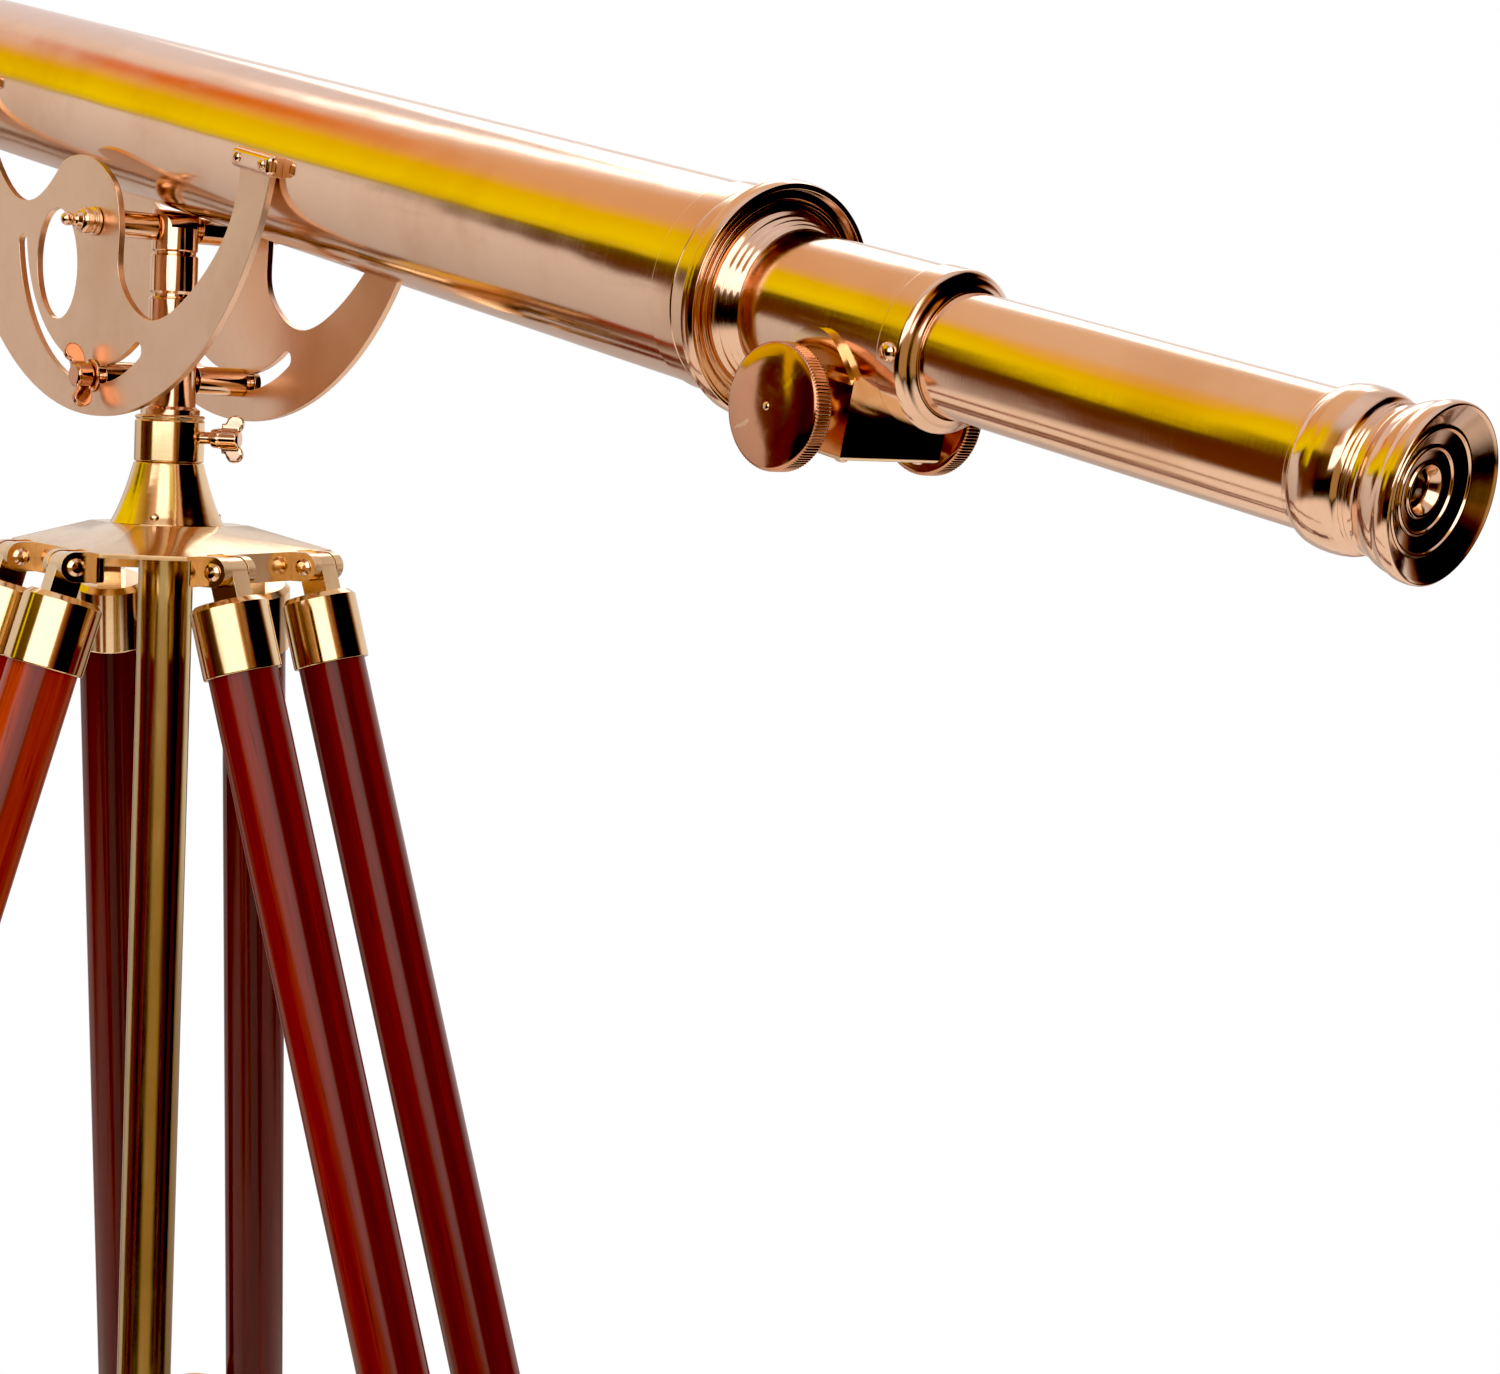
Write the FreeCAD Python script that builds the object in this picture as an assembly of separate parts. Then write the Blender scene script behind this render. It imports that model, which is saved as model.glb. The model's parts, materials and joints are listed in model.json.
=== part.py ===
"""Brass refracting telescope on a mahogany double-rod tripod.

Millimetres, +Z up.  The origin is on the floor under the centre column.  The
objective looks towards -X, the eyepiece towards +X, and the -Y side is the
near side.  The telescope is modelled level in its own frame, whose origin is
the altitude axle, and is then tilted up and lifted onto the pillar.
"""
import FreeCAD, Part
import os
from math import atan, cos, degrees, pi, radians, sin, sqrt, tan

V = FreeCAD.Vector
X_AXIS, Y_AXIS, Z_AXIS = V(1, 0, 0), V(0, 1, 0), V(0, 0, 1)

# ---- stand ------------------------------------------------------------------
HUB_Z = 1350.0            # joint between the hub cone and the column's sleeve
ELEVATION = 11.5          # degrees the objective points above level at rest
PIVOT_UP = 112.0          # altitude axle above the joint
CLAMP_DROP = 72.0         # clamp bolt below the axle, and radius of its slot
LEG_ANGLES = (22.0, 142.0, 262.0)
LEG_TILT = degrees(atan(0.30))

# ---- telescope --------------------------------------------------------------
AXIS_UP = 48.0            # tube axis above the altitude axle
TUBE_R, TUBE_WALL = 38.1, 1.6
TUBE_FRONT, TUBE_REAR = -500.0, 410.0
FLANGE_R, FLANGE_X = 43.6, 420.5
FOCUS_R, FOCUS_WALL = 27.6, 1.5
FOCUS_FRONT, COLLAR_FRONT, COLLAR_REAR = 396.0, 496.8, 511.0
DRAW_R, DRAW_WALL = 21.8, 1.6
DRAW_FRONT, CAP_FRONT, EYE_FACE = 380.0, 660.0, 700.0
EYE_R = 27.3

# ---- rack and pinion --------------------------------------------------------
PINION_X, PINION_DROP = 467.0, 29.1
MODULE, TEETH = 0.8, 21
KNOB_R, KNOB_IN, KNOB_OUT = 22.2, 34.0, 42.0
SHAFT_R = 3.0
HOUSING_HALF = 25.0

# ---- cradle -----------------------------------------------------------------
PLATE_IN, PLATE_T = 38.6, 3.2
PLATE_OUT = PLATE_IN + PLATE_T
ARC_X, ARC_Z, ARC_R = -7.0, 58.0, 149.0
HORN_W = 25.0
AXLE_R, BOLT_R = 3.5, 3.5
SLOT_HALF = 4.0
SLOT_FRONT, SLOT_REAR = -72.0, 45.0
WASHER_T, WING_LEN, WING_BITE = 1.2, 8.0, 5.6
FINIAL_BITE = 6.2          # how far the axle enters each finial

# ---- pillar, column and head ------------------------------------------------
PILLAR_R, SPIGOT_R = 11.0, 9.5
TENON_R, TENON_LEN = 6.0, 9.0
SLEEVE_R, SLEEVE_H = 16.5, 23.0
COLUMN_R, COLUMN_LEN = 13.0, 560.0
CONE_H, CONE_R = 29.5, 27.0
RIM_TOP, RIM_LOW = 40.5, 54.5
WALL, PLATE = 9.0, 4.5       # leg walls and sloping top of the hollow head
LEG_FACE, CORNER_FACE = 56.0, 78.0
RUN = 0.06                # running clearance
GAP = 0.35                # clearance between bodies that do not bear

# ---- legs -------------------------------------------------------------------
HINGE_R, HINGE_DOWN = 62.95, 47.5
ROD_OFFSET = 4.0          # rod axis inside the hinge
ROD_R, ROD_HALF = 16.1, 36.0
FERRULE_R, FERRULE_TOP, FERRULE_LEN = 18.2, 13.5, 34.0
ROD_END = 800.0           # distances below the hinge, along the leg
BRACKET_TOP, BRACKET_LEN = 786.0, 34.0
LOWER_R, LOWER_TOP = 15.0, 515.0
GUIDE_LEN = 14.0
SHOE_LEN = 66.0
PIN_R = 3.0
SCREW_R = 3.0


# ---- helpers ----------------------------------------------------------------
def cyl(r, h, base, axis):
    return Part.makeCylinder(r, h, base, axis)


def ring(r_out, r_in, h, base, axis):
    return cyl(r_out, h, base, axis).cut(cyl(r_in, h + 2, base - axis * 1, axis))


def block(x0, x1, y0, y1, z0, z1):
    return Part.makeBox(x1 - x0, y1 - y0, z1 - z0, V(x0, y0, z0))


def fuse(*shapes):
    out = shapes[0]
    for s in shapes[1:]:
        out = out.fuse(s)
    return out.removeSplitter()


def turned(points, base=V(0, 0, 0), axis=X_AXIS):
    """Lathe a closed outline of (along, radius) points about an axis."""
    wire = Part.makePolygon([V(a, 0, r) for a, r in points + points[:1]])
    solid = Part.Face(wire).revolve(V(0, 0, 0), X_AXIS, 360)
    solid.Placement = FreeCAD.Placement(base, FreeCAD.Rotation(X_AXIS, axis))
    return solid


def dome_points(a0, a1, r0, bulge, steps=8):
    """Half-round bead on a cylinder, as outline points from a0 to a1."""
    mid, half = (a0 + a1) / 2, (a1 - a0) / 2
    return [(mid - half * cos(pi * i / steps), r0 + bulge * sin(pi * i / steps)) for i in range(steps + 1)]


def both_sides(shape):
    return [shape, shape.mirror(V(0, 0, 0), Y_AXIS)]


def wing(hub_r, hub_len, span, height, thick=3.0):
    """Wing head on +X: a hub from x = 0 with two rounded ears across it."""
    hub = turned([(0, 0), (0, hub_r), (hub_len - 1, hub_r), (hub_len, hub_r - 1), (hub_len, 0)])
    ears = []
    for side in (-1, 1):
        ear = cyl(height / 2, thick, V(hub_len * 0.75, -thick / 2, side * (span - height / 2)), Y_AXIS)
        arm = block(1.0, hub_len, -thick / 2, thick / 2, min(0, side * (span - height / 2)),
                    max(0, side * (span - height / 2)))
        ears += [ear, arm]
    return fuse(hub, *ears)


def aimed(shape, base, axis):
    """Move a shape built along +X so that it lies along axis from base."""
    turn = FreeCAD.Rotation(X_AXIS, axis)
    shape = shape.copy()
    shape.Placement = FreeCAD.Placement(base, turn).multiply(shape.Placement)
    return shape


def on_pivot(shape):
    """From the telescope's level frame to its tilted place on the pillar."""
    shape = shape.copy()
    shape.rotate(V(0, 0, 0), Y_AXIS, ELEVATION)
    shape.translate(V(0, 0, HUB_Z + PIVOT_UP))
    return shape


def on_tube(shape):
    """As on_pivot, for shapes built about the tube axis."""
    shape = shape.copy()
    shape.translate(V(0, 0, AXIS_UP))
    return on_pivot(shape)


# ---- telescope --------------------------------------------------------------
def main_tube():
    return ring(TUBE_R, TUBE_R - TUBE_WALL, TUBE_REAR - TUBE_FRONT, V(TUBE_FRONT, 0, 0), X_AXIS)


def objective_hood():
    """Flared brass hood that slips over the front of the main tube."""
    f, r = TUBE_FRONT, TUBE_R
    outer = [(f - 26, r + 2)] + dome_points(f - 26, f - 18, r + 4.5, 2.6)
    outer += [(f - 18, r + 3.4), (f + 24, r + 3.4), (f + 26, r + 4.2), (f + 30, r + 4.2), (f + 32, r + 3.0)]
    outer += [(f + 40, r + 1.6), (f + 40, r)]
    return turned(outer + [(f, r), (f, r + 1.2), (f - 20, r + 2)])


def objective_cell():
    f, r = TUBE_FRONT, TUBE_R - TUBE_WALL
    return turned([(f + 4, r), (f + 30, r), (f + 30, r - 3.5), (f + 26, r - 3.5), (f + 26, r - 1.2), (f + 4, r - 1.2)])


def objective_lenses():
    """Cemented doublet: a biconvex crown and a meniscus flint behind it."""
    f, r = TUBE_FRONT + 14.0, TUBE_R - TUBE_WALL - 1.3
    front = [(f + 3.0 * (y / r) ** 2, y) for y in [r * i / 8 for i in range(9)]]
    joint = [(f + 8.0 - 2.5 * (y / r) ** 2, y) for y in [r * i / 8 for i in range(9)]]
    back = [(f + 11.4 - 0.6 * (y / r) ** 2, y) for y in [r * i / 8 for i in range(9)]]
    crown = turned(front + joint[::-1])
    flint = turned([(a + 0.02, y) for a, y in joint] + back[::-1])
    return Part.makeCompound([crown, flint])


def lens_retainer():
    f, r = TUBE_FRONT + 10.0, TUBE_R - TUBE_WALL - 1.25
    return turned([(f, r), (f, r - 2.0), (f + 2.0, r - 3.2), (f + 6.3, r - 3.2), (f + 6.3, r)])


def light_baffle():
    r = TUBE_R - TUBE_WALL
    return turned([(-60, r), (-60, 24.0), (-58.5, 24.0), (-58.5, r - 1), (-50, r - 1), (-50, r)])


def tail_piece():
    """Sleeve and rolled flange that close the main tube, with a stepped face."""
    x, t = FLANGE_X, TUBE_R
    outer = [(392, t), (392, t + 0.9), (403.5, t + 0.9), (404, t + 0.6), (404.5, t + 1.3), (413.5, t + 1.5)]
    outer += [(414, t + 4.4), (414.8, t + 5.7), (416.2, FLANGE_R), (418, FLANGE_R), (420.4, FLANGE_R - 0.7)]
    outer += [(x, FLANGE_R - 2.0), (x - 0.3, FLANGE_R - 2.9), (x - 3.4, FLANGE_R - 3.4), (x - 3.4, 37.0)]
    outer += [(x - 1.8, 36.6), (x - 1.8, 35.4), (x - 3.4, 35.0), (x - 3.4, 33.6), (x - 1.4, 33.2)]
    for i in range(4):
        outer += [(x - 0.8 + 2.0 * i, 32.6 - 1.25 * i), (x + 0.4 + 2.0 * i, 31.6 - 1.25 * i)]
    outer += [(x + 7.0, FOCUS_R + 0.2), (x + 7.0, FOCUS_R)]
    return turned(outer + [(FOCUS_FRONT, FOCUS_R), (FOCUS_FRONT, 31.0), (TUBE_REAR, 31.0), (TUBE_REAR, t)])


def pinion_window(r_in, r_out):
    return block(PINION_X - 9.6, PINION_X + 9.6, -4.5, 4.5, -r_out - 1, -r_in + 3)


def focuser_tube():
    tube = ring(FOCUS_R, FOCUS_R - FOCUS_WALL, COLLAR_REAR - 8 - FOCUS_FRONT, V(FOCUS_FRONT, 0, 0), X_AXIS)
    tube = tube.cut(pinion_window(FOCUS_R - FOCUS_WALL, FOCUS_R))
    return tube.cut(cyl(SHAFT_R + GAP, 40, V(PINION_X, -20, -PINION_DROP), Y_AXIS))


def draw_guide():
    """Inner ring that carries the front of the draw tube."""
    return ring(FOCUS_R - FOCUS_WALL, DRAW_R + RUN, 14, V(FOCUS_FRONT + 2, 0, 0), X_AXIS)


def focuser_collar():
    a, b, r = COLLAR_FRONT, COLLAR_REAR, FOCUS_R
    outer = [(a, r), (a, r + 0.3), (a + 0.5, r + 0.7), (b - 4.4, r + 0.7), (b - 3.2, r + 0.1), (b - 2.4, r - 1.2)]
    outer += [(b - 1.9, r - 1.8), (b - 1.2, r - 3.4), (b - 0.4, r - 4.4), (b, r - 5.0), (b, DRAW_R + RUN)]
    return turned(outer + [(b - 8, DRAW_R + RUN), (b - 8, r)])


def collar_screw():
    """Round-head screw on the near side of the collar."""
    aim = V(0, -0.997, -0.07)
    aim.normalize()
    seat = V(COLLAR_FRONT + 6.0, 0, 0) + aim * (FOCUS_R + 0.7)
    return aimed(turned([(0, 0), (0, 3.4), (1.0, 3.3), (2.0, 2.5), (2.6, 1.2), (2.7, 0)]), seat, aim)


def pinion_housing():
    """Saddle under the focuser tube with the gear box that carries the pinion."""
    x, r = PINION_X, FOCUS_R
    saddle = ring(r + 2.6, r, 34, V(x - 14, 0, 0), X_AXIS)
    oval = Part.Face(Part.Wire([Part.Ellipse(V(0, 0, 0), 22.0, 16.8).toShape()])).extrude(V(0, 0, 80))
    oval.rotate(V(0, 0, 0), Z_AXIS, 90)
    oval.rotate(V(0, 0, 0), X_AXIS, 90)
    oval.translate(V(x + 3, 40, -22.5))
    saddle = saddle.common(oval)
    box = block(x - 11, x + 20, -HOUSING_HALF, HOUSING_HALF, -PINION_DROP - 14, -PINION_DROP + 14)
    box = box.makeFillet(2.0, [e for e in box.Edges if abs(e.CenterOfMass.z + PINION_DROP + 14) < 0.1])
    box = box.cut(cyl(r, 80, V(x - 40, 0, 0), X_AXIS))
    box = box.common(block(x - 20, x + 30, -40, 40, -60, -15))
    body = fuse(saddle, box)
    gear_room = cyl(MODULE * TEETH / 2 + 1.6, 10, V(x, -5, -PINION_DROP), Y_AXIS)
    bore = cyl(SHAFT_R + RUN, 80, V(x, -40, -PINION_DROP), Y_AXIS)
    return body.cut(gear_room).cut(bore)


def housing_screws():
    """Four round heads that hold the gear box's bottom plate."""
    head = turned([(0, 0), (0, 2.4), (0.7, 2.2), (1.3, 1.2), (1.4, 0)])
    low = -PINION_DROP - 14
    return Part.makeCompound([aimed(head, V(PINION_X + dx, dy, low), V(0, 0, -1))
                              for dx in (-6.0, 15.0) for dy in (-19.0, 19.0)])


def draw_tube():
    tube = ring(DRAW_R, DRAW_R - DRAW_WALL, CAP_FRONT + 12 - DRAW_FRONT, V(DRAW_FRONT, 0, 0), X_AXIS)
    return tube.cut(block(PINION_X - 30, PINION_X + 160, -3, 3, -DRAW_R - 1, -DRAW_R + 4))


def rack():
    """Toothed strip let into the underside of the draw tube."""
    pitch_z = -(PINION_DROP - MODULE * TEETH / 2)
    pitch = pi * MODULE
    bar = block(PINION_X - 30, PINION_X + 160, -3, 3, pitch_z + 0.9, -DRAW_R + 4)
    tooth = Part.makePolygon([V(-0.75, -3, 0.9), V(0.75, -3, 0.9), V(0.35, -3, -0.6), V(-0.35, -3, -0.6),
                              V(-0.75, -3, 0.9)])
    tooth = Part.Face(tooth).extrude(V(0, 6, 0))
    teeth = []
    for i in range(-11, 63):
        t = tooth.copy()
        t.translate(V(PINION_X + (i + 0.5) * pitch, 0, pitch_z))
        teeth.append(t)
    return fuse(bar, *teeth)


def eyepiece_cap():
    """Turned cap: a half-round bead, a ringed neck and a flare to the eye face."""
    a, f, r = CAP_FRONT, EYE_FACE, DRAW_R
    outer = [(a, r), (a, r + 0.9), (a + 1.6, r + 1.0)] + dome_points(a + 1.6, a + 18.6, r + 1.2, 2.4)
    outer += [(a + 19.4, r + 0.6), (a + 20.2, r + 1.2), (a + 21.0, r + 0.6), (a + 21.8, r + 1.3), (a + 22.6, r + 0.7)]
    outer += [(a + 24.6 + 9.0 * i / 5, r + 0.8 + 3.6 * sin(pi / 2 * i / 5)) for i in range(6)]
    outer += [(f - 4.5, EYE_R - 0.15), (f - 2.0, EYE_R), (f - 0.5, EYE_R - 0.3), (f, EYE_R - 0.9)]
    face = [(f - 0.6, EYE_R - 1.6), (f - 4.4, 19.6), (f - 3.8, 19.2), (f - 3.8, 18.6), (f - 4.6, 18.2)]
    face += [(f - 6.2, 13.6), (f - 5.6, 13.2), (f - 5.6, 12.6), (f - 6.4, 12.2), (f - 7.0, 8.6), (f - 6.2, 8.2)]
    face += [(f - 6.2, 7.4), (f - 9.6, 5.4), (f - 13.0, 5.4), (f - 13.0, 8.0), (f - 28.0, 8.0), (f - 28.0, r)]
    return turned(outer + face)


def eyepiece_lenses():
    """Eye lens behind the cup and field lens further in."""
    lenses = []
    for x, r, sag, edge in ((EYE_FACE - 16.6, 7.6, 1.4, 2.0), (EYE_FACE - 46.0, 13.0, 2.2, 2.6)):
        bulge = [(x + edge + sag * (1 - (y / r) ** 2), y) for y in [r * i / 6 for i in range(7)]]
        lenses.append(turned([(x, 0)] + bulge + [(x, r)]))
    return Part.makeCompound(lenses)


def lens_cell():
    """Blackened inner tube that holds both eyepiece lenses."""
    f, r = EYE_FACE, DRAW_R - DRAW_WALL
    return turned([(f - 52, r), (f - 28.2, r), (f - 28.2, 7.7), (f - 13.2, 7.7), (f - 13.2, 7.65),
                   (f - 16.9, 7.65), (f - 16.9, 6.4), (f - 30, 6.4), (f - 38, 11.0), (f - 41, 11.0),
                   (f - 41, 13.1), (f - 46.2, 13.1), (f - 46.2, 11.0), (f - 52, 11.0)])


def pinion():
    """Cross shaft with the toothed pinion cut at its middle."""
    root, tip = MODULE * TEETH / 2 - 1.1, MODULE * TEETH / 2 + 0.6
    shaft = cyl(SHAFT_R, 2 * KNOB_OUT, V(0, -KNOB_OUT, 0), Y_AXIS)
    core = cyl(root, 6, V(0, -3, 0), Y_AXIS)
    tooth = Part.makePolygon([V(-0.62, -3, root - 0.5), V(0.62, -3, root - 0.5), V(0.24, -3, tip),
                              V(-0.24, -3, tip), V(-0.62, -3, root - 0.5)])
    tooth = Part.Face(tooth).extrude(V(0, 6, 0))
    teeth = []
    for i in range(TEETH):
        t = tooth.copy()
        t.rotate(V(0, 0, 0), Y_AXIS, 360.0 / TEETH * i)
        teeth.append(t)
    shape = fuse(shaft, core, *teeth)
    shape.translate(V(PINION_X, 0, -PINION_DROP))
    return shape


def focus_knobs():
    """Two domed, straight-knurled knobs, each with a small shaft collar."""
    h = KNOB_OUT - KNOB_IN
    outline = [(-7.6, SHAFT_R), (-7.6, 5.0), (-6.8, 5.6), (-1.6, 5.6), (0, 7.0), (0, KNOB_R - 1.4), (0.8, KNOB_R)]
    outline += [(h - 0.8, KNOB_R), (h, KNOB_R - 0.9)]
    outline += [(h + 2.2 * (1 - (y / (KNOB_R - 0.9)) ** 2), y) for y in [(KNOB_R - 0.9) * i / 6 for i in (5, 4, 3, 2, 1)]]
    outline += [(h + 2.2, SHAFT_R)]
    knob = turned(outline)
    groove = cyl(0.45, h + 2, V(-1, 0, KNOB_R + 0.1), X_AXIS)
    cuts = []
    for i in range(60):
        g = groove.copy()
        g.rotate(V(0, 0, 0), X_AXIS, 6.0 * i)
        cuts.append(g)
    knob = knob.cut(Part.makeCompound(cuts))
    base = V(PINION_X, -KNOB_IN, -PINION_DROP)
    return Part.makeCompound(both_sides(aimed(knob, base, -Y_AXIS)))


def knob_screws():
    head = turned([(0, 0), (0, 2.6), (0.7, 2.4), (1.3, 1.4), (1.4, 0)])
    base = V(PINION_X, -KNOB_OUT - 2.2, -PINION_DROP)
    stub = cyl(SHAFT_R - 0.2, 2.2, V(PINION_X, -KNOB_OUT - 2.2, -PINION_DROP), Y_AXIS)
    return Part.makeCompound(both_sides(fuse(aimed(head, base, -Y_AXIS), stub)))


# ---- cradle -----------------------------------------------------------------
def polar(deg, r):
    """Point at radius r from the axle, deg from straight down towards the eyepiece."""
    return V(r * sin(radians(deg)), 0, -r * cos(radians(deg)))


def arc_edge(cx, cz, r, deg0, deg1):
    """Arc in the plate's plane, its angles counted from straight down."""
    pts = [V(cx + r * sin(radians(d)), 0, cz - r * cos(radians(d))) for d in (deg0, (deg0 + deg1) / 2, deg1)]
    return Part.Arc(*pts).toShape()


def smooth(points, start=None, end=None):
    curve = Part.BSplineCurve()
    curve.interpolate([V(x, 0, z) for x, z in points])
    return curve.toShape()


def plate_outline():
    """Crescent with two horns and a hump between them that carries the axle."""
    top = AXIS_UP - 3
    half = degrees(atan((ARC_Z - top) / sqrt(ARC_R ** 2 - (ARC_Z - top) ** 2)))
    reach = ARC_R * cos(radians(half))
    rear, front = ARC_X + reach, ARC_X - reach
    outer = arc_edge(ARC_X, ARC_Z, ARC_R, half - 90, 90 - half)
    rear_top = Part.makeLine(V(rear, 0, top), V(rear - HORN_W, 0, top))
    rear_open = smooth([(rear - HORN_W, top), (111, 12), (99, -6), (81, -24), (59, -35), (39, -31), (26, -20),
                        (22, -2), (16, 14), (3, 24)])
    hump_top = smooth([(3, 24), (-11, 28), (-27, 27), (-39, 22)])
    front_open = smooth([(-39, 22), (-49, 10), (-63, 0), (-79, -2), (-95, 4), (-111, 16), (-123, 30),
                         (front + HORN_W, top)])
    front_top = Part.makeLine(V(front + HORN_W, 0, top), V(front, 0, top))
    return Part.Wire([outer, rear_top, rear_open, hump_top, front_open, front_top]), rear, front


def slot_cut():
    """Arc slot about the axle, for the clamp bolt."""
    r_in, r_out = CLAMP_DROP - SLOT_HALF, CLAMP_DROP + SLOT_HALF
    outer = arc_edge(0, 0, r_out, SLOT_FRONT, SLOT_REAR)
    inner = arc_edge(0, 0, r_in, SLOT_FRONT, SLOT_REAR)
    ends = []
    for deg, turn in ((SLOT_FRONT, -1), (SLOT_REAR, 1)):
        mid = polar(deg, CLAMP_DROP) + V(cos(radians(deg)), 0, sin(radians(deg))) * SLOT_HALF * turn
        ends.append(Part.Arc(polar(deg, r_out), mid, polar(deg, r_in)).toShape())
    return Part.Face(Part.Wire(Part.__sortEdges__([outer, inner] + ends)))


def cradle_plate():
    """Near-side plate; the far one is its mirror image."""
    wire, rear, front = plate_outline()
    plate = Part.Face(wire).extrude(V(0, PLATE_T, 0))
    plate = plate.cut(slot_cut().extrude(V(0, PLATE_T + 2, 0)).translated(V(0, -1, 0)))
    hole = Part.Face(Part.Wire([Part.Ellipse(V(0, 0, 0), 26.5, 19.5).toShape()])).extrude(V(0, 0, PLATE_T + 2))
    hole.rotate(V(0, 0, 0), X_AXIS, 90)
    hole.rotate(V(0, 0, 0), Y_AXIS, 72)
    hole.translate(V(-32.5, PLATE_T + 1, -26))
    plate = plate.cut(hole)
    plate = plate.cut(cyl(AXLE_R + RUN, PLATE_T + 2, V(0, -1, 0), Y_AXIS))
    plate.translate(V(0, -PLATE_OUT, 0))
    pads = []
    for x0, x1 in ((rear - HORN_W - 3, rear + 3), (front - 3, front + HORN_W + 3)):
        pad = block(x0, x1, -PLATE_OUT - 1.5, -30, AXIS_UP - 4, AXIS_UP + 5)
        pad = pad.makeFillet(1.2, [e for e in pad.Edges if abs(e.CenterOfMass.y + PLATE_OUT + 1.5) < 0.1])
        pads.append(pad.cut(cyl(TUBE_R, 400, V(-200, 0, AXIS_UP), X_AXIS)))
    return fuse(plate, *pads)


def pad_screws():
    """Two round-head screws through each of the four horn pads."""
    head = turned([(0, 0), (0, 2.5), (0.8, 2.3), (1.5, 1.3), (1.6, 0)])
    _, rear, front = plate_outline()
    spots = [rear - HORN_W + 3.0, rear - 3.0, front + 3.0, front + HORN_W - 3.0]
    near = [aimed(head, V(x, -PLATE_OUT - 1.5, AXIS_UP + 0.5), -Y_AXIS) for x in spots]
    return Part.makeCompound([s for n in near for s in both_sides(n)])


# ---- pillar -----------------------------------------------------------------
def pillar():
    """Turned pillar with an eye for the axle, and the spigot screwed into its foot that swivels in the column."""
    h, r, foot = PIVOT_UP, PILLAR_R, SLEEVE_H + 0.1
    outline = [(foot, 0), (foot, 14.0)]
    outline += [(SLEEVE_H + 2.5, 14.0), (SLEEVE_H + 4, r + 0.8), (78, r + 0.8), (79.4, r - 0.6), (80.6, r - 0.6)]
    outline += [(82, r + 0.3), (h - 13.4, r + 0.3), (h - 12.4, r - 0.8), (h - 11.4, r - 0.8), (h - 10.4, r)]
    outline += [(h, r), (h, 0)]
    post = turned(outline, V(0, 0, 0), Z_AXIS)
    eye = cyl(8.6, 2 * r, V(0, -r, h), Y_AXIS)
    crown = post.common(block(-30, 30, -30, 30, -40, h - 0.01))
    body = fuse(crown, eye.common(cyl(r, 40, V(0, 0, h - 20), Z_AXIS)))
    body = body.cut(cyl(AXLE_R, 60, V(0, -30, h), Y_AXIS))
    body = body.cut(cyl(BOLT_R, 60, V(0, -30, h - CLAMP_DROP), Y_AXIS))
    body = body.cut(cyl(TENON_R, TENON_LEN, V(0, 0, foot), Z_AXIS))
    spigot = turned([(2, 0), (2, SPIGOT_R - 1), (3, SPIGOT_R), (foot, SPIGOT_R), (foot, TENON_R),
                     (foot + TENON_LEN, TENON_R), (foot + TENON_LEN, 0)], V(0, 0, 0), Z_AXIS)
    return Part.makeCompound([body, spigot]).translated(V(0, 0, HUB_Z))


def cross_tubes():
    """Spacer tubes on the axle and on the clamp bolt, pillar to plate."""
    tubes = []
    for z, r_in, r_out in ((PIVOT_UP, AXLE_R, 6.4), (PIVOT_UP - CLAMP_DROP, BOLT_R, 7.0)):
        start = PILLAR_R + 1.2
        tubes += both_sides(ring(r_out, r_in, PLATE_IN - GAP - start, V(0, -PLATE_IN + GAP, HUB_Z + z), Y_AXIS))
    return Part.makeCompound(tubes)


def pivot_axle():
    reach = PLATE_OUT + FINIAL_BITE
    return cyl(AXLE_R, 2 * reach, V(0, -reach, HUB_Z + PIVOT_UP), Y_AXIS)


def pivot_finials():
    """Turned nuts on both ends of the axle, each ending in a small ball."""
    ball, centre = 3.2, 14.4
    outline = [(0, AXLE_R), (0, 6.6), (1.0, 6.8), (2.2, 6.6), (2.6, 5.4), (3.6, 5.2), (4.2, 6.0), (6.8, 6.0)]
    outline += [(7.8, 5.2), (8.4, 4.0), (10.8, 3.4), (11.6, 2.4)]
    outline += [(centre - ball * cos(radians(a)), ball * sin(radians(a))) for a in range(45, 180, 15)]
    outline += [(centre + ball, 0), (FINIAL_BITE, 0), (FINIAL_BITE, AXLE_R)]
    nut = turned(outline)
    base = V(0, -PLATE_OUT - GAP, HUB_Z + PIVOT_UP)
    return Part.makeCompound(both_sides(aimed(nut, base, -Y_AXIS)))


def clamp_bolt():
    """Bolt through the pillar and both arc slots, its head on the far side."""
    z = HUB_Z + PIVOT_UP - CLAMP_DROP
    reach = PLATE_OUT + GAP + WASHER_T + GAP + WING_BITE
    shank = cyl(BOLT_R, reach + PLATE_OUT + 1, V(0, -reach, z), Y_AXIS)
    head = aimed(turned([(0, 0), (0, 7.6), (1.2, 7.8), (1.2, 6.6), (4.4, 6.2), (5.6, 4.4), (6, 0)]),
                 V(0, PLATE_OUT + GAP, z), Y_AXIS)
    washer = ring(7.8, BOLT_R, WASHER_T, V(0, -PLATE_OUT - GAP - WASHER_T, z), Y_AXIS)
    return Part.makeCompound([fuse(shank, head), washer])


def tilt_wing():
    """Wing nut that clamps the cradle, on the bolt's near end."""
    nut = wing(5.8, WING_LEN, 16.0, 9.0).cut(cyl(BOLT_R + RUN, WING_BITE + 1.6, V(-1, 0, 0), X_AXIS))
    nut.rotate(V(0, 0, 0), X_AXIS, 24)
    base = V(0, -PLATE_OUT - GAP - WASHER_T - GAP, HUB_Z + PIVOT_UP - CLAMP_DROP)
    return aimed(nut, base, -Y_AXIS)


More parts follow.
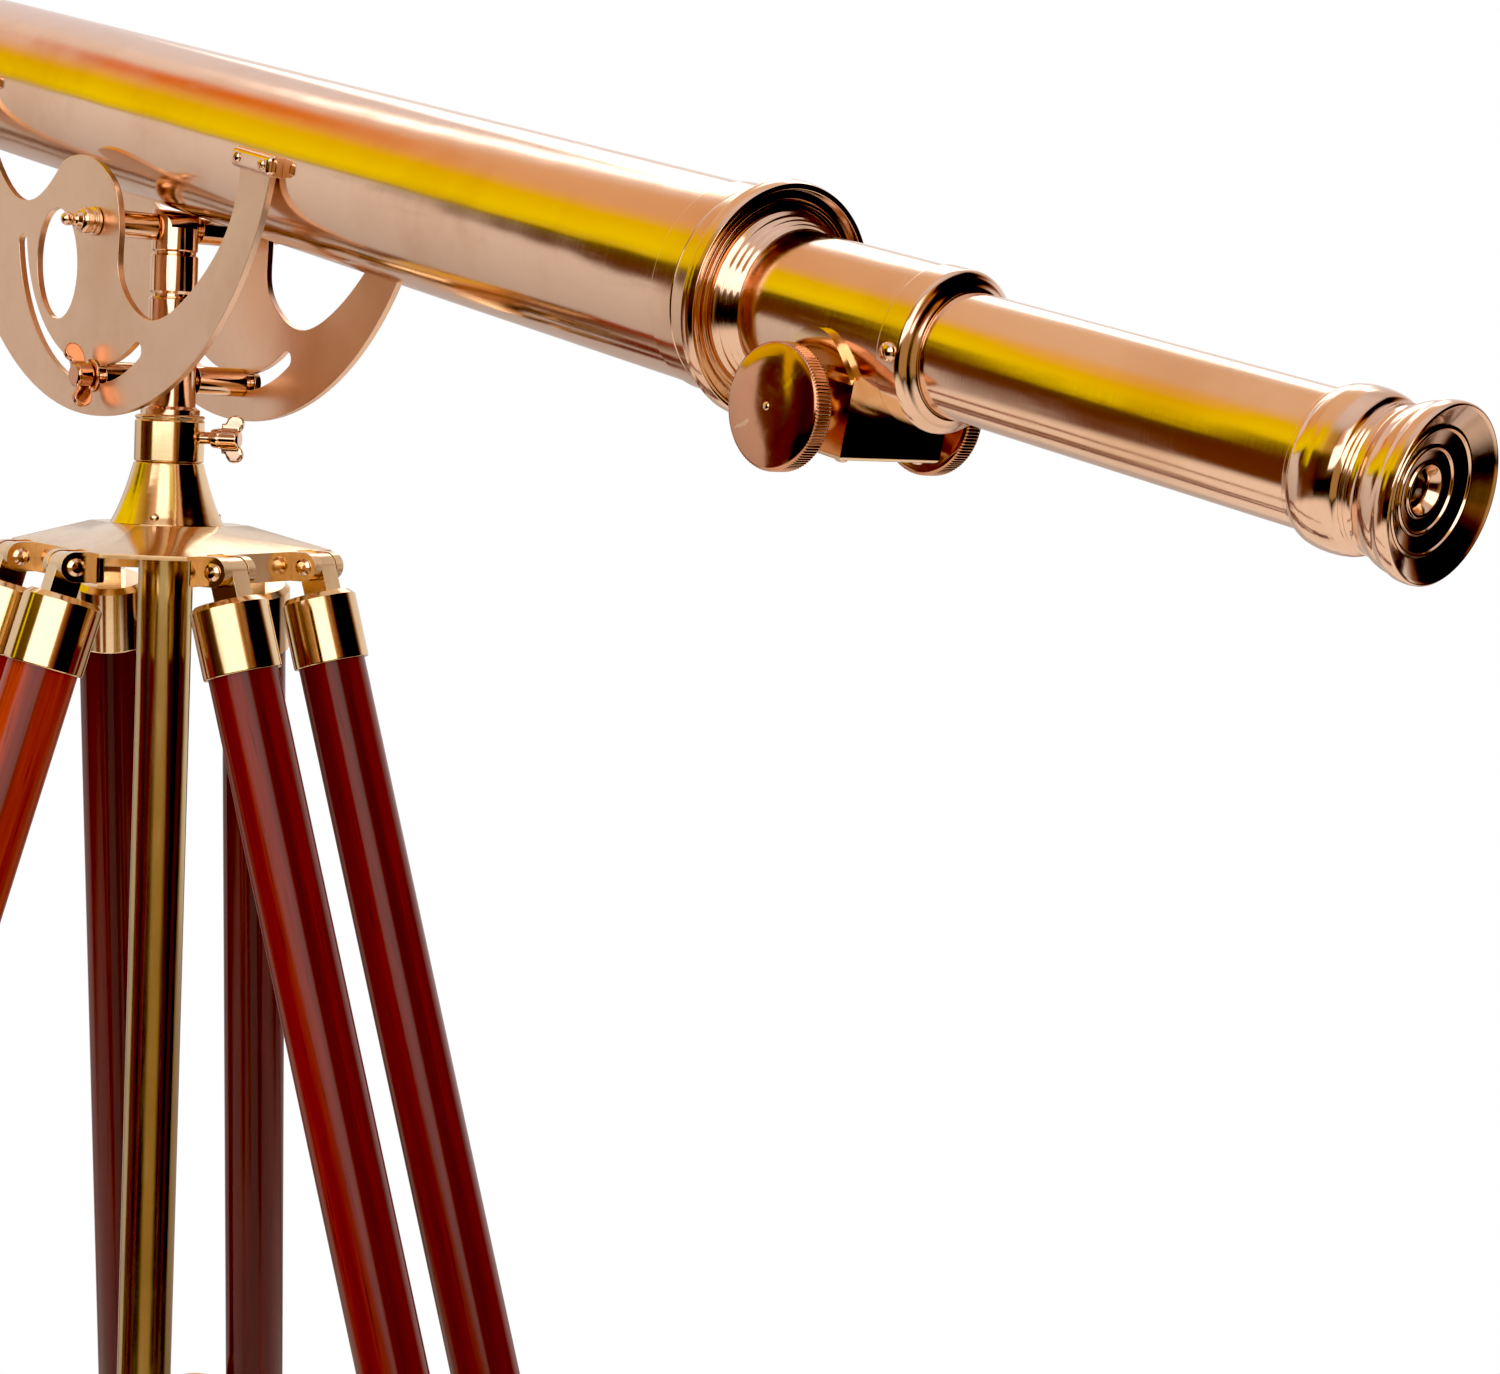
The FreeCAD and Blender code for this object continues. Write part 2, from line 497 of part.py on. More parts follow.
# ---- column -----------------------------------------------------------------
def radial(deg):
    return V(cos(radians(deg)), sin(radians(deg)), 0)


AZ_SCREW_DEG, LOCK_SCREW_DEG = 38.0, 142.0
AZ_SCREW_UP, LOCK_SCREW_UP = 12.6, -16.0
HUB_SCREW_DEG = (76.0, 196.0, 316.0)


def sleeve():
    """Collar on top of the column that takes the pillar's spigot."""
    r, h = SLEEVE_R, SLEEVE_H
    outer = [(0.1, r - 0.8), (0.9, r), (h - 3.0, r), (h - 2.4, r - 0.7), (h - 1.6, r), (h - 0.8, r), (h, r - 0.8)]
    body = turned(outer + [(h, SPIGOT_R + RUN), (5.8, SPIGOT_R + RUN), (5.8, COLUMN_R), (0.1, COLUMN_R)],
                  V(0, 0, HUB_Z), Z_AXIS)
    return body.cut(cyl(SCREW_R + RUN, 30, V(0, 0, HUB_Z + AZ_SCREW_UP), radial(AZ_SCREW_DEG)))


def column_tube():
    tube = ring(COLUMN_R, COLUMN_R - 2.0, COLUMN_LEN + 5.8, V(0, 0, HUB_Z - COLUMN_LEN), Z_AXIS)
    return tube


def column_cap():
    """Turned button that closes the lower end of the column."""
    r = COLUMN_R
    outline = [(-16, 0), (-15.4, 4), (-13.6, 6.6), (-11, 7.6), (-8.6, 6.4), (-7.4, 5.4), (-6.4, 8.5), (-5, r + 1.2)]
    outline += [(-0.8, r + 1.2), (0, r + 0.4), (0, r - 2.05), (14, r - 2.05), (14, 0)]
    return turned(outline, V(0, 0, HUB_Z - COLUMN_LEN), Z_AXIS)


def thumbscrew(start, grip, end):
    """Shank from start to grip along +X, then a wing head out to end."""
    shank = cyl(SCREW_R, grip - start, V(start, 0, 0), X_AXIS)
    collar = turned([(grip - 4.0, 0), (grip - 4.0, 4.4), (grip, 5.0), (grip, 0)])
    head = wing(4.6, end - grip, 11.5, 8.5, 2.8)
    head.translate(V(grip, 0, 0))
    return fuse(shank, collar, head)


def azimuth_screw():
    screw = thumbscrew(SPIGOT_R + 0.4, 25.5, 35.5)
    return aimed(screw, V(0, 0, HUB_Z + AZ_SCREW_UP), radial(AZ_SCREW_DEG))


# ---- tripod head ------------------------------------------------------------
def hub_cone():
    """Flared hub through which the column slides."""
    h, r0, r1 = CONE_H, SLEEVE_R, CONE_R
    outer = [(-h * i / 8, r0 + (r1 - r0) * (0.75 * i / 8 + 0.25 * (i / 8) ** 3)) for i in range(9)]
    body = turned(outer + [(-h, COLUMN_R + RUN), (0, COLUMN_R + RUN)], V(0, 0, HUB_Z), Z_AXIS)
    for a in HUB_SCREW_DEG:
        seat = V(0, 0, HUB_Z - CONE_H + 3.6) + radial(a) * (CONE_R - 2.0)
        body = body.cut(cyl(2.5, 6, seat, radial(a)))
    return body.cut(cyl(SCREW_R + RUN, 40, V(0, 0, HUB_Z + LOCK_SCREW_UP), radial(LOCK_SCREW_DEG)))


def column_lock():
    screw = thumbscrew(COLUMN_R + 0.4, 34.0, 45.0)
    return aimed(screw, V(0, 0, HUB_Z + LOCK_SCREW_UP), radial(LOCK_SCREW_DEG))


def hub_screws():
    """Three round heads round the foot of the hub cone."""
    head = turned([(0, 0), (0, 2.2), (0.7, 2.0), (1.3, 1.1), (1.4, 0)])
    return Part.makeCompound([aimed(head, V(0, 0, HUB_Z - CONE_H + 3.6) + radial(a) * (CONE_R - 2.0), radial(a))
                              for a in HUB_SCREW_DEG])


def head_outline(scale, z):
    """Six-sided outline: three long leg faces and three short corner faces."""
    half = (4 * CORNER_FACE - 2 * LEG_FACE) / sqrt(3) / 2
    pts = []
    for a in LEG_ANGLES:
        out, side = radial(a), radial(a + 90)
        pts += [(out * LEG_FACE - side * half) * scale, (out * LEG_FACE + side * half) * scale]
    pts = [V(p.x, p.y, z) for p in pts]
    return Part.makePolygon(pts + pts[:1])


def leg_frame(shape, leg_deg):
    """From a leg's own frame (hinge along Y, rods down -Z) to its place."""
    shape = shape.copy()
    shape.rotate(V(0, 0, 0), Y_AXIS, -LEG_TILT)
    shape.translate(V(HINGE_R, 0, HUB_Z - HINGE_DOWN))
    shape.rotate(V(0, 0, 0), Z_AXIS, leg_deg)
    return shape


def ear_block(y):
    """Clevis of two ears on the head's rim, with its slot for one tongue."""
    z = HUB_Z - HINGE_DOWN
    solid = block(LEG_FACE - 6, HINGE_R, y - 12, y + 12, z - 7, z + 7).fuse(cyl(7, 24, V(HINGE_R, y - 12, z), Y_AXIS))
    return solid.cut(cyl(PIN_R, 40, V(HINGE_R, y - 20, z), Y_AXIS))


def tongue_slot(y):
    z = HUB_Z - HINGE_DOWN
    return block(HINGE_R - 8.2, HINGE_R + 20, y - 6 - GAP, y + 6 + GAP, z - 20, z + 20)


def head_hollow():
    """Space under the head: closed by the three leg walls, open at the three corners."""
    inner, low, high = 1 - WALL / LEG_FACE, HUB_Z - RIM_LOW - 1, HUB_Z - RIM_TOP - 2
    space = Part.Face(head_outline(inner, low)).extrude(V(0, 0, high - low))
    space = space.fuse(Part.makeLoft([head_outline(inner, high), head_outline(0.42, HUB_Z - CONE_H - PLATE)], True, True))
    for a in LEG_ANGLES:
        gap = block(CORNER_FACE * inner - 6, CORNER_FACE + 5, -21, 21, low, high)
        gap.rotate(V(0, 0, 0), Z_AXIS, a + 60)
        space = space.fuse(gap)
    return space


def tripod_head():
    """Hollow cast plate with a sloping top, three leg walls and six clevises."""
    rim = Part.Face(head_outline(1.0, HUB_Z - RIM_LOW)).extrude(V(0, 0, RIM_LOW - RIM_TOP))
    slope = Part.makeLoft([head_outline(1.0, HUB_Z - RIM_TOP), head_outline(0.49, HUB_Z - CONE_H)], True, True)
    body = rim.fuse(slope).cut(head_hollow())
    for a in LEG_ANGLES:
        for y in (-ROD_HALF, ROD_HALF):
            ears, slot = ear_block(y), tongue_slot(y)
            ears.rotate(V(0, 0, 0), Z_AXIS, a)
            slot.rotate(V(0, 0, 0), Z_AXIS, a)
            body = body.fuse(ears).cut(slot)
    return body.cut(cyl(COLUMN_R + 0.5, 60, V(0, 0, HUB_Z - RIM_LOW - 10), Z_AXIS)).removeSplitter()


def hinge_pins():
    """One headed pin through each clevis."""
    z = HUB_Z - HINGE_DOWN
    pins = []
    for y in (-ROD_HALF, ROD_HALF):
        shank = cyl(PIN_R, 24, V(HINGE_R, y - 12, z), Y_AXIS)
        heads = []
        for side in (-1, 1):
            dome = turned([(0, 0), (0, 4.2), (0.8, 4.0), (1.7, 2.6), (2.1, 0)])
            heads.append(aimed(dome, V(HINGE_R, y + side * 12, z), Y_AXIS * side))
        pins.append(fuse(shank, *heads))
    placed = []
    for a in LEG_ANGLES:
        for p in pins:
            p = p.copy()
            p.rotate(V(0, 0, 0), Z_AXIS, a)
            placed.append(p)
    return Part.makeCompound(placed)


# ---- legs, in their own frame: hinge along Y, rods down -Z ----------------------
ROD_X = -ROD_OFFSET * cos(radians(LEG_TILT))
FLOOR_DOWN = (HUB_Z - HINGE_DOWN) / cos(radians(LEG_TILT)) + ROD_X * tan(radians(LEG_TILT))


def leg_rods():
    top = FERRULE_TOP + 5
    return Part.makeCompound([cyl(ROD_R, ROD_END - top, V(ROD_X, y, -ROD_END), Z_AXIS) for y in (-ROD_HALF, ROD_HALF)])


def leg_ferrules():
    """Brass socket and hinge tongue at the top of each rod."""
    a, b, r = -FERRULE_TOP - FERRULE_LEN, -FERRULE_TOP, FERRULE_R
    ferrules = []
    for y in (-ROD_HALF, ROD_HALF):
        outline = [(a, ROD_R), (a, r - 0.4), (a + 0.8, r), (b - 2.6, r), (b, r - 2.6), (b, 0), (b - 5, 0), (b - 5, ROD_R)]
        cup = turned(outline, V(ROD_X, y, 0), Z_AXIS)
        tongue = block(-7.0, 6.4, y - 6, y + 6, b - 1, 0).fuse(cyl(6.6, 12, V(0, y - 6, 0), Y_AXIS))
        tongue = tongue.cut(cyl(PIN_R + RUN, 20, V(0, y - 10, 0), Y_AXIS))
        ferrules.append(fuse(cup, tongue))
    return Part.makeCompound(ferrules)


def leg_bracket():
    """Three-bore bracket that ties the rods and guides the lower rod."""
    z0, h = -BRACKET_TOP - BRACKET_LEN, BRACKET_LEN
    parts = [cyl(FERRULE_R, h, V(ROD_X, y, z0), Z_AXIS) for y in (-ROD_HALF, ROD_HALF)]
    parts += [cyl(LOWER_R + 4, h, V(ROD_X, 0, z0), Z_AXIS)]
    parts += [block(ROD_X - 7, ROD_X + 7, -ROD_HALF, ROD_HALF, z0, z0 + h)]
    parts += [cyl(6.0, 24, V(ROD_X, 0, z0 + h / 2), X_AXIS)]
    body = fuse(*parts)
    for y in (-ROD_HALF, ROD_HALF):
        body = body.cut(cyl(ROD_R, h, V(ROD_X, y, -ROD_END), Z_AXIS))
    body = body.cut(cyl(LOWER_R + GAP, h + 2, V(ROD_X, 0, z0 - 1), Z_AXIS))
    return body.cut(cyl(SCREW_R + RUN, 40, V(ROD_X, 0, z0 + h / 2), X_AXIS))


def leg_wing():
    z = -BRACKET_TOP - BRACKET_LEN / 2
    return aimed(thumbscrew(LOWER_R + GAP + 0.3, 31.0, 42.0), V(ROD_X, 0, z), X_AXIS)


def lower_rod():
    return cyl(LOWER_R, FLOOR_DOWN - SHOE_LEN + 26 - LOWER_TOP, V(ROD_X, 0, -FLOOR_DOWN + SHOE_LEN - 26), Z_AXIS)


def lower_guide():
    """Cross-head on the lower rod that slides along both upper rods."""
    z0, h = -LOWER_TOP - GUIDE_LEN, GUIDE_LEN
    parts = [cyl(ROD_R + 3.4, h, V(ROD_X, y, z0), Z_AXIS) for y in (-ROD_HALF, ROD_HALF)]
    parts += [cyl(LOWER_R + 3, h, V(ROD_X, 0, z0), Z_AXIS), block(ROD_X - 6, ROD_X + 6, -ROD_HALF, ROD_HALF, z0, z0 + h)]
    body = fuse(*parts)
    for y in (-ROD_HALF, ROD_HALF):
        body = body.cut(cyl(ROD_R + GAP, h + 2, V(ROD_X, y, z0 - 1), Z_AXIS))
    return body.cut(cyl(LOWER_R, h + 2, V(ROD_X, 0, z0 - 1), Z_AXIS))


def foot_shoe():
    """Tapered brass shoe, its tip later cut level with the floor."""
    top = -FLOOR_DOWN + SHOE_LEN
    outline = [(top, LOWER_R), (top, LOWER_R + 1.8), (top - 1, LOWER_R + 2.2), (top - 5, LOWER_R + 2.2)]
    outline += [(top - 6, LOWER_R + 1.5), (top - 28, LOWER_R + 1.5), (top - 30, LOWER_R + 2.4), (top - 33, LOWER_R + 2.4)]
    outline += [(top - 36, LOWER_R), (top - SHOE_LEN - 8, 8.5), (top - SHOE_LEN - 8, 0), (top - 26, 0), (top - 26, LOWER_R)]
    return turned(outline, V(ROD_X, 0, 0), Z_AXIS)


def level_cut(shape):
    return shape.cut(block(-900, 900, -900, 900, -200, 0))


# ---- write ------------------------------------------------------------------
def build():
    plate = cradle_plate()
    nodes = {
        "main_tube": on_tube(main_tube()), "objective_hood": on_tube(objective_hood()),
        "objective_cell": on_tube(objective_cell()), "objective_lenses": on_tube(objective_lenses()),
        "lens_retainer": on_tube(lens_retainer()), "light_baffle": on_tube(light_baffle()),
        "tail_piece": on_tube(tail_piece()), "focuser_tube": on_tube(focuser_tube()),
        "draw_guide": on_tube(draw_guide()), "focuser_collar": on_tube(focuser_collar()),
        "collar_screw": on_tube(collar_screw()), "pinion_housing": on_tube(pinion_housing()),
        "housing_screws": on_tube(housing_screws()),
        "cradle_plate_near": on_pivot(plate), "cradle_plate_far": on_pivot(plate.mirror(V(0, 0, 0), Y_AXIS)),
        "pad_screws": on_pivot(pad_screws()),
        "draw_tube": on_tube(draw_tube()), "rack": on_tube(rack()), "eyepiece_cap": on_tube(eyepiece_cap()),
        "eyepiece_lenses": on_tube(eyepiece_lenses()), "lens_cell": on_tube(lens_cell()),
        "pinion": on_tube(pinion()), "focus_knobs": on_tube(focus_knobs()), "knob_screws": on_tube(knob_screws()),
        "pillar": pillar(), "cross_tubes": cross_tubes(), "pivot_axle": pivot_axle(),
        "pivot_finials": pivot_finials(), "clamp_bolt": clamp_bolt(), "tilt_wing": tilt_wing(),
        "sleeve": sleeve(), "column_tube": column_tube(), "column_cap": column_cap(),
        "azimuth_screw": azimuth_screw(),
        "hub_cone": hub_cone(), "column_lock": column_lock(), "hub_screws": hub_screws(),
        "tripod_head": tripod_head(), "hinge_pins": hinge_pins(),
    }
    leg_parts = {"leg_rods": leg_rods(), "leg_ferrules": leg_ferrules(), "leg_bracket": leg_bracket(),
                 "leg_wing": leg_wing(), "lower_rod": lower_rod(), "lower_guide": lower_guide(),
                 "foot_shoe": foot_shoe()}
    for number, angle in enumerate(LEG_ANGLES, 1):
        for name, shape in leg_parts.items():
            nodes["%s_%d" % (name, number)] = level_cut(leg_frame(shape, angle))
    return nodes


def main():
    os.makedirs("parts", exist_ok=True)
    for name, shape in build().items():
        shape.exportStep("parts/%s.step" % name)
        print(name, "valid" if shape.isValid() else "INVALID", len(shape.Solids), round(shape.Volume))


main()
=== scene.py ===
"""Looks of the brass telescope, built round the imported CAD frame.

Metres, +Z up, in the frame's own axes.  Turned pieces and lenses are lathed
again from the outlines that their CAD nodes hold, with soft corners and more
steps.  Cast and sawn pieces are refined copies with bevelled edges, and wing
screws are remeshed copies.  Knobs, screw heads and horn bars are built here.
"""

import json
from math import atan2, ceil, cos, degrees, pi, radians, sin, sqrt

import bmesh
import bpy
from mathutils import Matrix, Vector


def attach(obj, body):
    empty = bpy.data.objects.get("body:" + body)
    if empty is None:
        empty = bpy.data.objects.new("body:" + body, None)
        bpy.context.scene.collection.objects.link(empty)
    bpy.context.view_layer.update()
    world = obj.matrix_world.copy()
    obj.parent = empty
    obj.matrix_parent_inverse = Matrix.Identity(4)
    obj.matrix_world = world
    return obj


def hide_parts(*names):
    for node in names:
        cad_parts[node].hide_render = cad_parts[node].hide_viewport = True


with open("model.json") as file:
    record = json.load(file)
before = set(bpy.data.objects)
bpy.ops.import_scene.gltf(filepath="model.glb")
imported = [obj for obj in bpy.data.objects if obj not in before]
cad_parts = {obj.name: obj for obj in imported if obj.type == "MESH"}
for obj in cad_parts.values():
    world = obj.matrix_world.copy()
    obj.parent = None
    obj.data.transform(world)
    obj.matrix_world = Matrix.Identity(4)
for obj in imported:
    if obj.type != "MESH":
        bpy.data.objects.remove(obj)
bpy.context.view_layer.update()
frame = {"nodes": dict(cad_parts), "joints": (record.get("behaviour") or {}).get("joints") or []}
nodes = frame["nodes"]
joints = {j["name"]: j for j in frame["joints"]}

MM = 0.001
X_AXIS, Y_AXIS, Z_AXIS = Vector((1, 0, 0)), Vector((0, 1, 0)), Vector((0, 0, 1))


def joint_point(name):
    return Vector(joints[name]["pos_m"])


def joint_axis(name):
    return Vector(joints[name]["axis"]).normalized()


# ---- frames of the main assemblies --------------------------------------------
AXLE = joint_point("altitude_tilt")
TUBE_DIR = joint_axis("focus_slide")
TUBE_UP = TUBE_DIR.cross(Y_AXIS)
TUBE_BASE = AXLE + TUBE_UP * 48 * MM       # the tube axis runs 48 mm above the axle
PINION = joint_point("pinion_turn")
COLUMN = joint_point("azimuth_swivel")
ROD_HALF, ROD_INSET = 36 * MM, 4 * MM      # a leg's rods from its middle, and from its hinge
HORN_FRONT, HORN_REAR = -142.9, 128.9      # middles of the horn tips along the tube, in millimetres
KNOB_IN, KNOB_R, KNOB_T, KNOB_DOME = 34 * MM, 22.2 * MM, 8 * MM, 2.2 * MM
TEETH, TOOTH_DEPTH = 112, 0.5 * MM         # knurling on a knob's rim
LEGS = (1, 2, 3)

# ---- how finely copies are worked ----------------------------------------------
SAME_SPOT = 2e-6           # points nearer than this are one point
SOFT_CORNER = 0.35 * MM    # radius on a turned piece's corners
SHARP_EDGE = 32.0          # edges sharper than this, in degrees, get a bevel
CREASE = 50.0              # edges sharper than this stay creased in shading
VOXEL, FLOW_PASSES = 0.45 * MM, 5


# ---- node graphs -----------------------------------------------------------------
class Graph:
    """Short ways to add linked nodes to one node tree."""

    def __init__(self, tree):
        self.tree = tree
        tree.nodes.clear()

    def feed(self, socket, value):
        if isinstance(value, bpy.types.NodeSocket):
            self.tree.links.new(value, socket)
        elif value is not None:
            socket.default_value = value

    def add(self, kind, inputs=(), **settings):
        node = self.tree.nodes.new(kind)
        for name, value in settings.items():
            setattr(node, name, value)
        for name, value in dict(inputs).items():
            self.feed(node.inputs[name], value)
        return node

    def math(self, operation, a, b=None):
        node = self.add("ShaderNodeMath", {0: a}, operation=operation)
        self.feed(node.inputs[1], b)
        return node.outputs[0]

    def scale(self, value, low, high, to_low=0.0, to_high=1.0, smooth=True):
        node = self.add("ShaderNodeMapRange", {0: value, 1: low, 2: high, 3: to_low, 4: to_high})
        node.interpolation_type = "SMOOTHSTEP" if smooth else "LINEAR"
        return node.outputs[0]

    def mix(self, share, a, b):
        node = self.add("ShaderNodeMix", {0: share, 6: a, 7: b}, data_type="RGBA")
        return node.outputs[2]

    def ramp(self, value, stops):
        node = self.add("ShaderNodeValToRGB", {0: value})
        elements = node.color_ramp.elements
        while len(elements) < len(stops):
            elements.new(0.5)
        for element, (place, colour) in zip(elements, stops):
            element.position = place
            element.color = rgba(colour)
        return node.outputs[0]

    def noise(self, vector, scale, detail=2.0, rough=0.5):
        node = self.add("ShaderNodeTexNoise", {"Vector": vector, "Scale": scale, "Detail": detail,
                                               "Roughness": rough})
        return node.outputs["Fac"]

    def stretched(self, vector, x, y, z):
        node = self.add("ShaderNodeVectorMath", {0: vector, 1: (x, y, z)}, operation="MULTIPLY")
        return node.outputs[0]


def rgba(colour):
    return tuple(colour) + (1.0,) if len(colour) == 3 else tuple(colour)


def new_material(name, **uniform):
    """A material with a Principled shader whose uniform values sit on its sockets."""
    material = bpy.data.materials.new(name)
    material.use_nodes = True
    graph = Graph(material.node_tree)
    shader = graph.add("ShaderNodeBsdfPrincipled")
    for socket, value in uniform.items():
        shader.inputs[socket.replace("_", " ")].default_value = value
    output = graph.add("ShaderNodeOutputMaterial")
    graph.feed(output.inputs[0], shader.outputs[0])
    place = graph.add("ShaderNodeTexCoord").outputs["Object"]
    return material, graph, shader, place


def axis_matrix(base, axis):
    """Local Z lies along axis from base."""
    axis = axis.normalized()
    side = TUBE_UP if abs(axis.dot(TUBE_UP)) < 0.9 else X_AXIS
    side = (side - axis * side.dot(axis)).normalized()
    matrix = Matrix((side, axis.cross(side), axis)).transposed().to_4x4()
    matrix.translation = base
    return matrix


BRASS = (0.90, 0.63, 0.46)
BRASS_DEEP = (0.66, 0.37, 0.19)
GOLDEN, GOLDEN_DEEP = (0.90, 0.65, 0.38), (0.60, 0.36, 0.15)
DARK_OLIVE_BRASS = (0.60, 0.45, 0.22)
BEIGE, PALE, NIGHT = (0.75, 0.70, 0.68), (0.86, 0.81, 0.80), (0.008, 0.006, 0.005)


def brass(name, colour=BRASS, deep=BRASS_DEEP, rough=0.09, turned=1.0, waves=1.0, tarnish=0.35, turn=None):
    """Lacquered brass: lathe marks round local Z, wipe marks, cloudy tarnish, bright worn edges.

    The matrix turn, if given, says where local Z lies on a piece built in place.
    """
    material, graph, shader, place = new_material(name, Metallic=1.0, Coat_Weight=0.12, Coat_Roughness=0.05)
    if turn:
        back = turn.inverted()
        place = graph.add("ShaderNodeMapping", {"Vector": place, "Location": back.translation,
                                                "Rotation": back.to_euler()}).outputs[0]
    rings = graph.noise(graph.stretched(place, 5.0, 5.0, 1500.0), 1.0, 4.0, 0.6)
    wipes = graph.noise(graph.stretched(place, 260.0, 260.0, 30.0), 1.0, 3.0, 0.55)
    clouds = graph.noise(place, 14.0, 4.0, 0.6)
    specks = graph.noise(place, 900.0, 2.0, 0.5)
    swell = graph.noise(place, 22.0, 1.0, 0.4)
    point = graph.add("ShaderNodeNewGeometry").outputs["Pointiness"]
    worn = graph.scale(point, 0.52, 0.60)
    crevice = graph.scale(point, 0.46, 0.40)
    stain = graph.math("MULTIPLY", graph.scale(clouds, 0.42, 0.72), tarnish)
    base = graph.mix(stain, rgba(colour), rgba(deep))
    base = graph.mix(graph.math("MULTIPLY", graph.scale(specks, 0.66, 0.80), 0.35 * tarnish), base, rgba(deep))
    base = graph.mix(graph.math("MULTIPLY", crevice, 0.55), base, rgba([0.45 * c for c in deep]))
    base = graph.mix(graph.math("MULTIPLY", worn, 0.35), base, (0.97, 0.78, 0.55, 1.0))
    graph.feed(shader.inputs["Base Color"], base)
    gloss = graph.math("ADD", graph.scale(rings, 0.3, 0.75, 0.0, 0.05 * turned), rough)
    gloss = graph.math("ADD", gloss, graph.scale(wipes, 0.50, 0.72, 0.0, 0.05))
    gloss = graph.math("ADD", gloss, graph.math("MULTIPLY", stain, 0.12))
    graph.feed(shader.inputs["Roughness"], gloss)
    height = graph.math("MULTIPLY", rings, 0.5 * turned)
    height = graph.math("ADD", height, graph.math("MULTIPLY", specks, 0.15))
    marks = graph.add("ShaderNodeBump", {"Height": height, "Strength": 0.05, "Distance": 0.0002})
    bow = graph.add("ShaderNodeBump", {"Height": swell, "Strength": 0.10 * waves, "Distance": 0.004,
                                       "Normal": marks.outputs[0]})
    graph.feed(shader.inputs["Normal"], bow.outputs[0])
    return material


def mahogany(name, painted_brightness=1.0, warm=1.0):
    """Glossy varnish over long-grained mahogany, the grain along local Z; its two scales paint light and shade into
    the tone.
    """
    material, graph, shader, place = new_material(name, Coat_Weight=0.7, Coat_Roughness=0.14,
                                                  Coat_IOR=1.45, IOR=1.45, Specular_IOR_Level=0.15)
    bands = graph.noise(graph.stretched(place, 55.0, 55.0, 2.2), 1.0, 5.0, 0.6)
    pores = graph.noise(graph.stretched(place, 900.0, 900.0, 22.0), 1.0, 2.0, 0.5)
    streaks = graph.noise(graph.stretched(place, 210.0, 210.0, 5.0), 1.0, 4.0, 0.65)
    clouds = graph.noise(place, 5.0, 2.0, 0.5)
    tone = graph.math("ADD", graph.math("MULTIPLY", bands, 0.65), graph.math("MULTIPLY", streaks, 0.35))
    base = graph.ramp(tone, [(at, (r * painted_brightness, g * painted_brightness * warm, b * painted_brightness)) for at, r, g, b in (
        (0.28, 0.050, 0.0028, 0.0012), (0.44, 0.130, 0.0085, 0.0020), (0.56, 0.235, 0.0190, 0.0040),
        (0.74, 0.400, 0.0500, 0.0110))])
    base = graph.mix(graph.scale(pores, 0.60, 0.74, 0.0, 0.6), base, (0.020, 0.0015, 0.0010, 1.0))
    base = graph.mix(graph.scale(clouds, 0.4, 0.7, 0.0, 0.35), base, (0.075, 0.0040, 0.0012, 1.0))
    graph.feed(shader.inputs["Base Color"], base)
    graph.feed(shader.inputs["Roughness"], graph.scale(streaks, 0.3, 0.7, 0.30, 0.48))
    bump = graph.add("ShaderNodeBump", {"Height": graph.math("SUBTRACT", streaks, pores), "Strength": 0.12,
                                        "Distance": 0.0002})
    graph.feed(shader.inputs["Normal"], bump.outputs[0])
    ripple = graph.add("ShaderNodeBump", {"Height": graph.noise(place, 40.0, 2.0), "Strength": 0.06,
                                          "Distance": 0.001})
    graph.feed(shader.inputs["Coat Normal"], ripple.outputs[0])
    return material


def lens_glass():
    """Coated optical glass with a faint bloom and a little dust."""
    material, graph, shader, place = new_material("lens_glass", Transmission_Weight=1.0, IOR=1.52,
                                                  Coat_Weight=0.4, Coat_Roughness=0.02)
    dust = graph.noise(place, 700.0, 3.0)
    bloom = graph.noise(place, 60.0, 2.0)
    graph.feed(shader.inputs["Base Color"], graph.mix(graph.scale(bloom, 0.3, 0.7), (0.86, 0.93, 0.97, 1.0),
                                                      (0.93, 0.90, 0.97, 1.0)))
    graph.feed(shader.inputs["Roughness"], graph.scale(dust, 0.62, 0.78, 0.01, 0.12))
    return material


def optical_black():
    """Matt black paint inside the tubes, rubbed grey where it is touched."""
    material, graph, shader, place = new_material("optical_black", Metallic=0.0, IOR=1.4)
    rub = graph.noise(graph.stretched(place, 60.0, 60.0, 500.0), 1.0, 4.0)
    graph.feed(shader.inputs["Base Color"], graph.mix(graph.scale(rub, 0.5, 0.8), (0.010, 0.009, 0.008, 1.0),
                                                      (0.045, 0.036, 0.028, 1.0)))
    graph.feed(shader.inputs["Roughness"], graph.scale(rub, 0.3, 0.7, 0.75, 0.5))
    bump = graph.add("ShaderNodeBump", {"Height": rub, "Strength": 0.2, "Distance": 0.0002})
    graph.feed(shader.inputs["Normal"], bump.outputs[0])
    return material


POLISHED = brass("brass_turned")
ON_TUBE = brass("brass_on_tube", turn=axis_matrix(TUBE_BASE, TUBE_DIR))
FLAT = brass("brass_flat", rough=0.30, turned=0.0, waves=0.5, tarnish=0.25)
STAND = brass("brass_stand", GOLDEN, GOLDEN_DEEP, tarnish=0.3)
CAST = brass("brass_cast", GOLDEN, GOLDEN_DEEP, rough=0.13, turned=0.0, waves=1.4, tarnish=0.45)
SMALL = brass("brass_small", rough=0.10, turned=0.5, waves=0.4, tarnish=0.3)
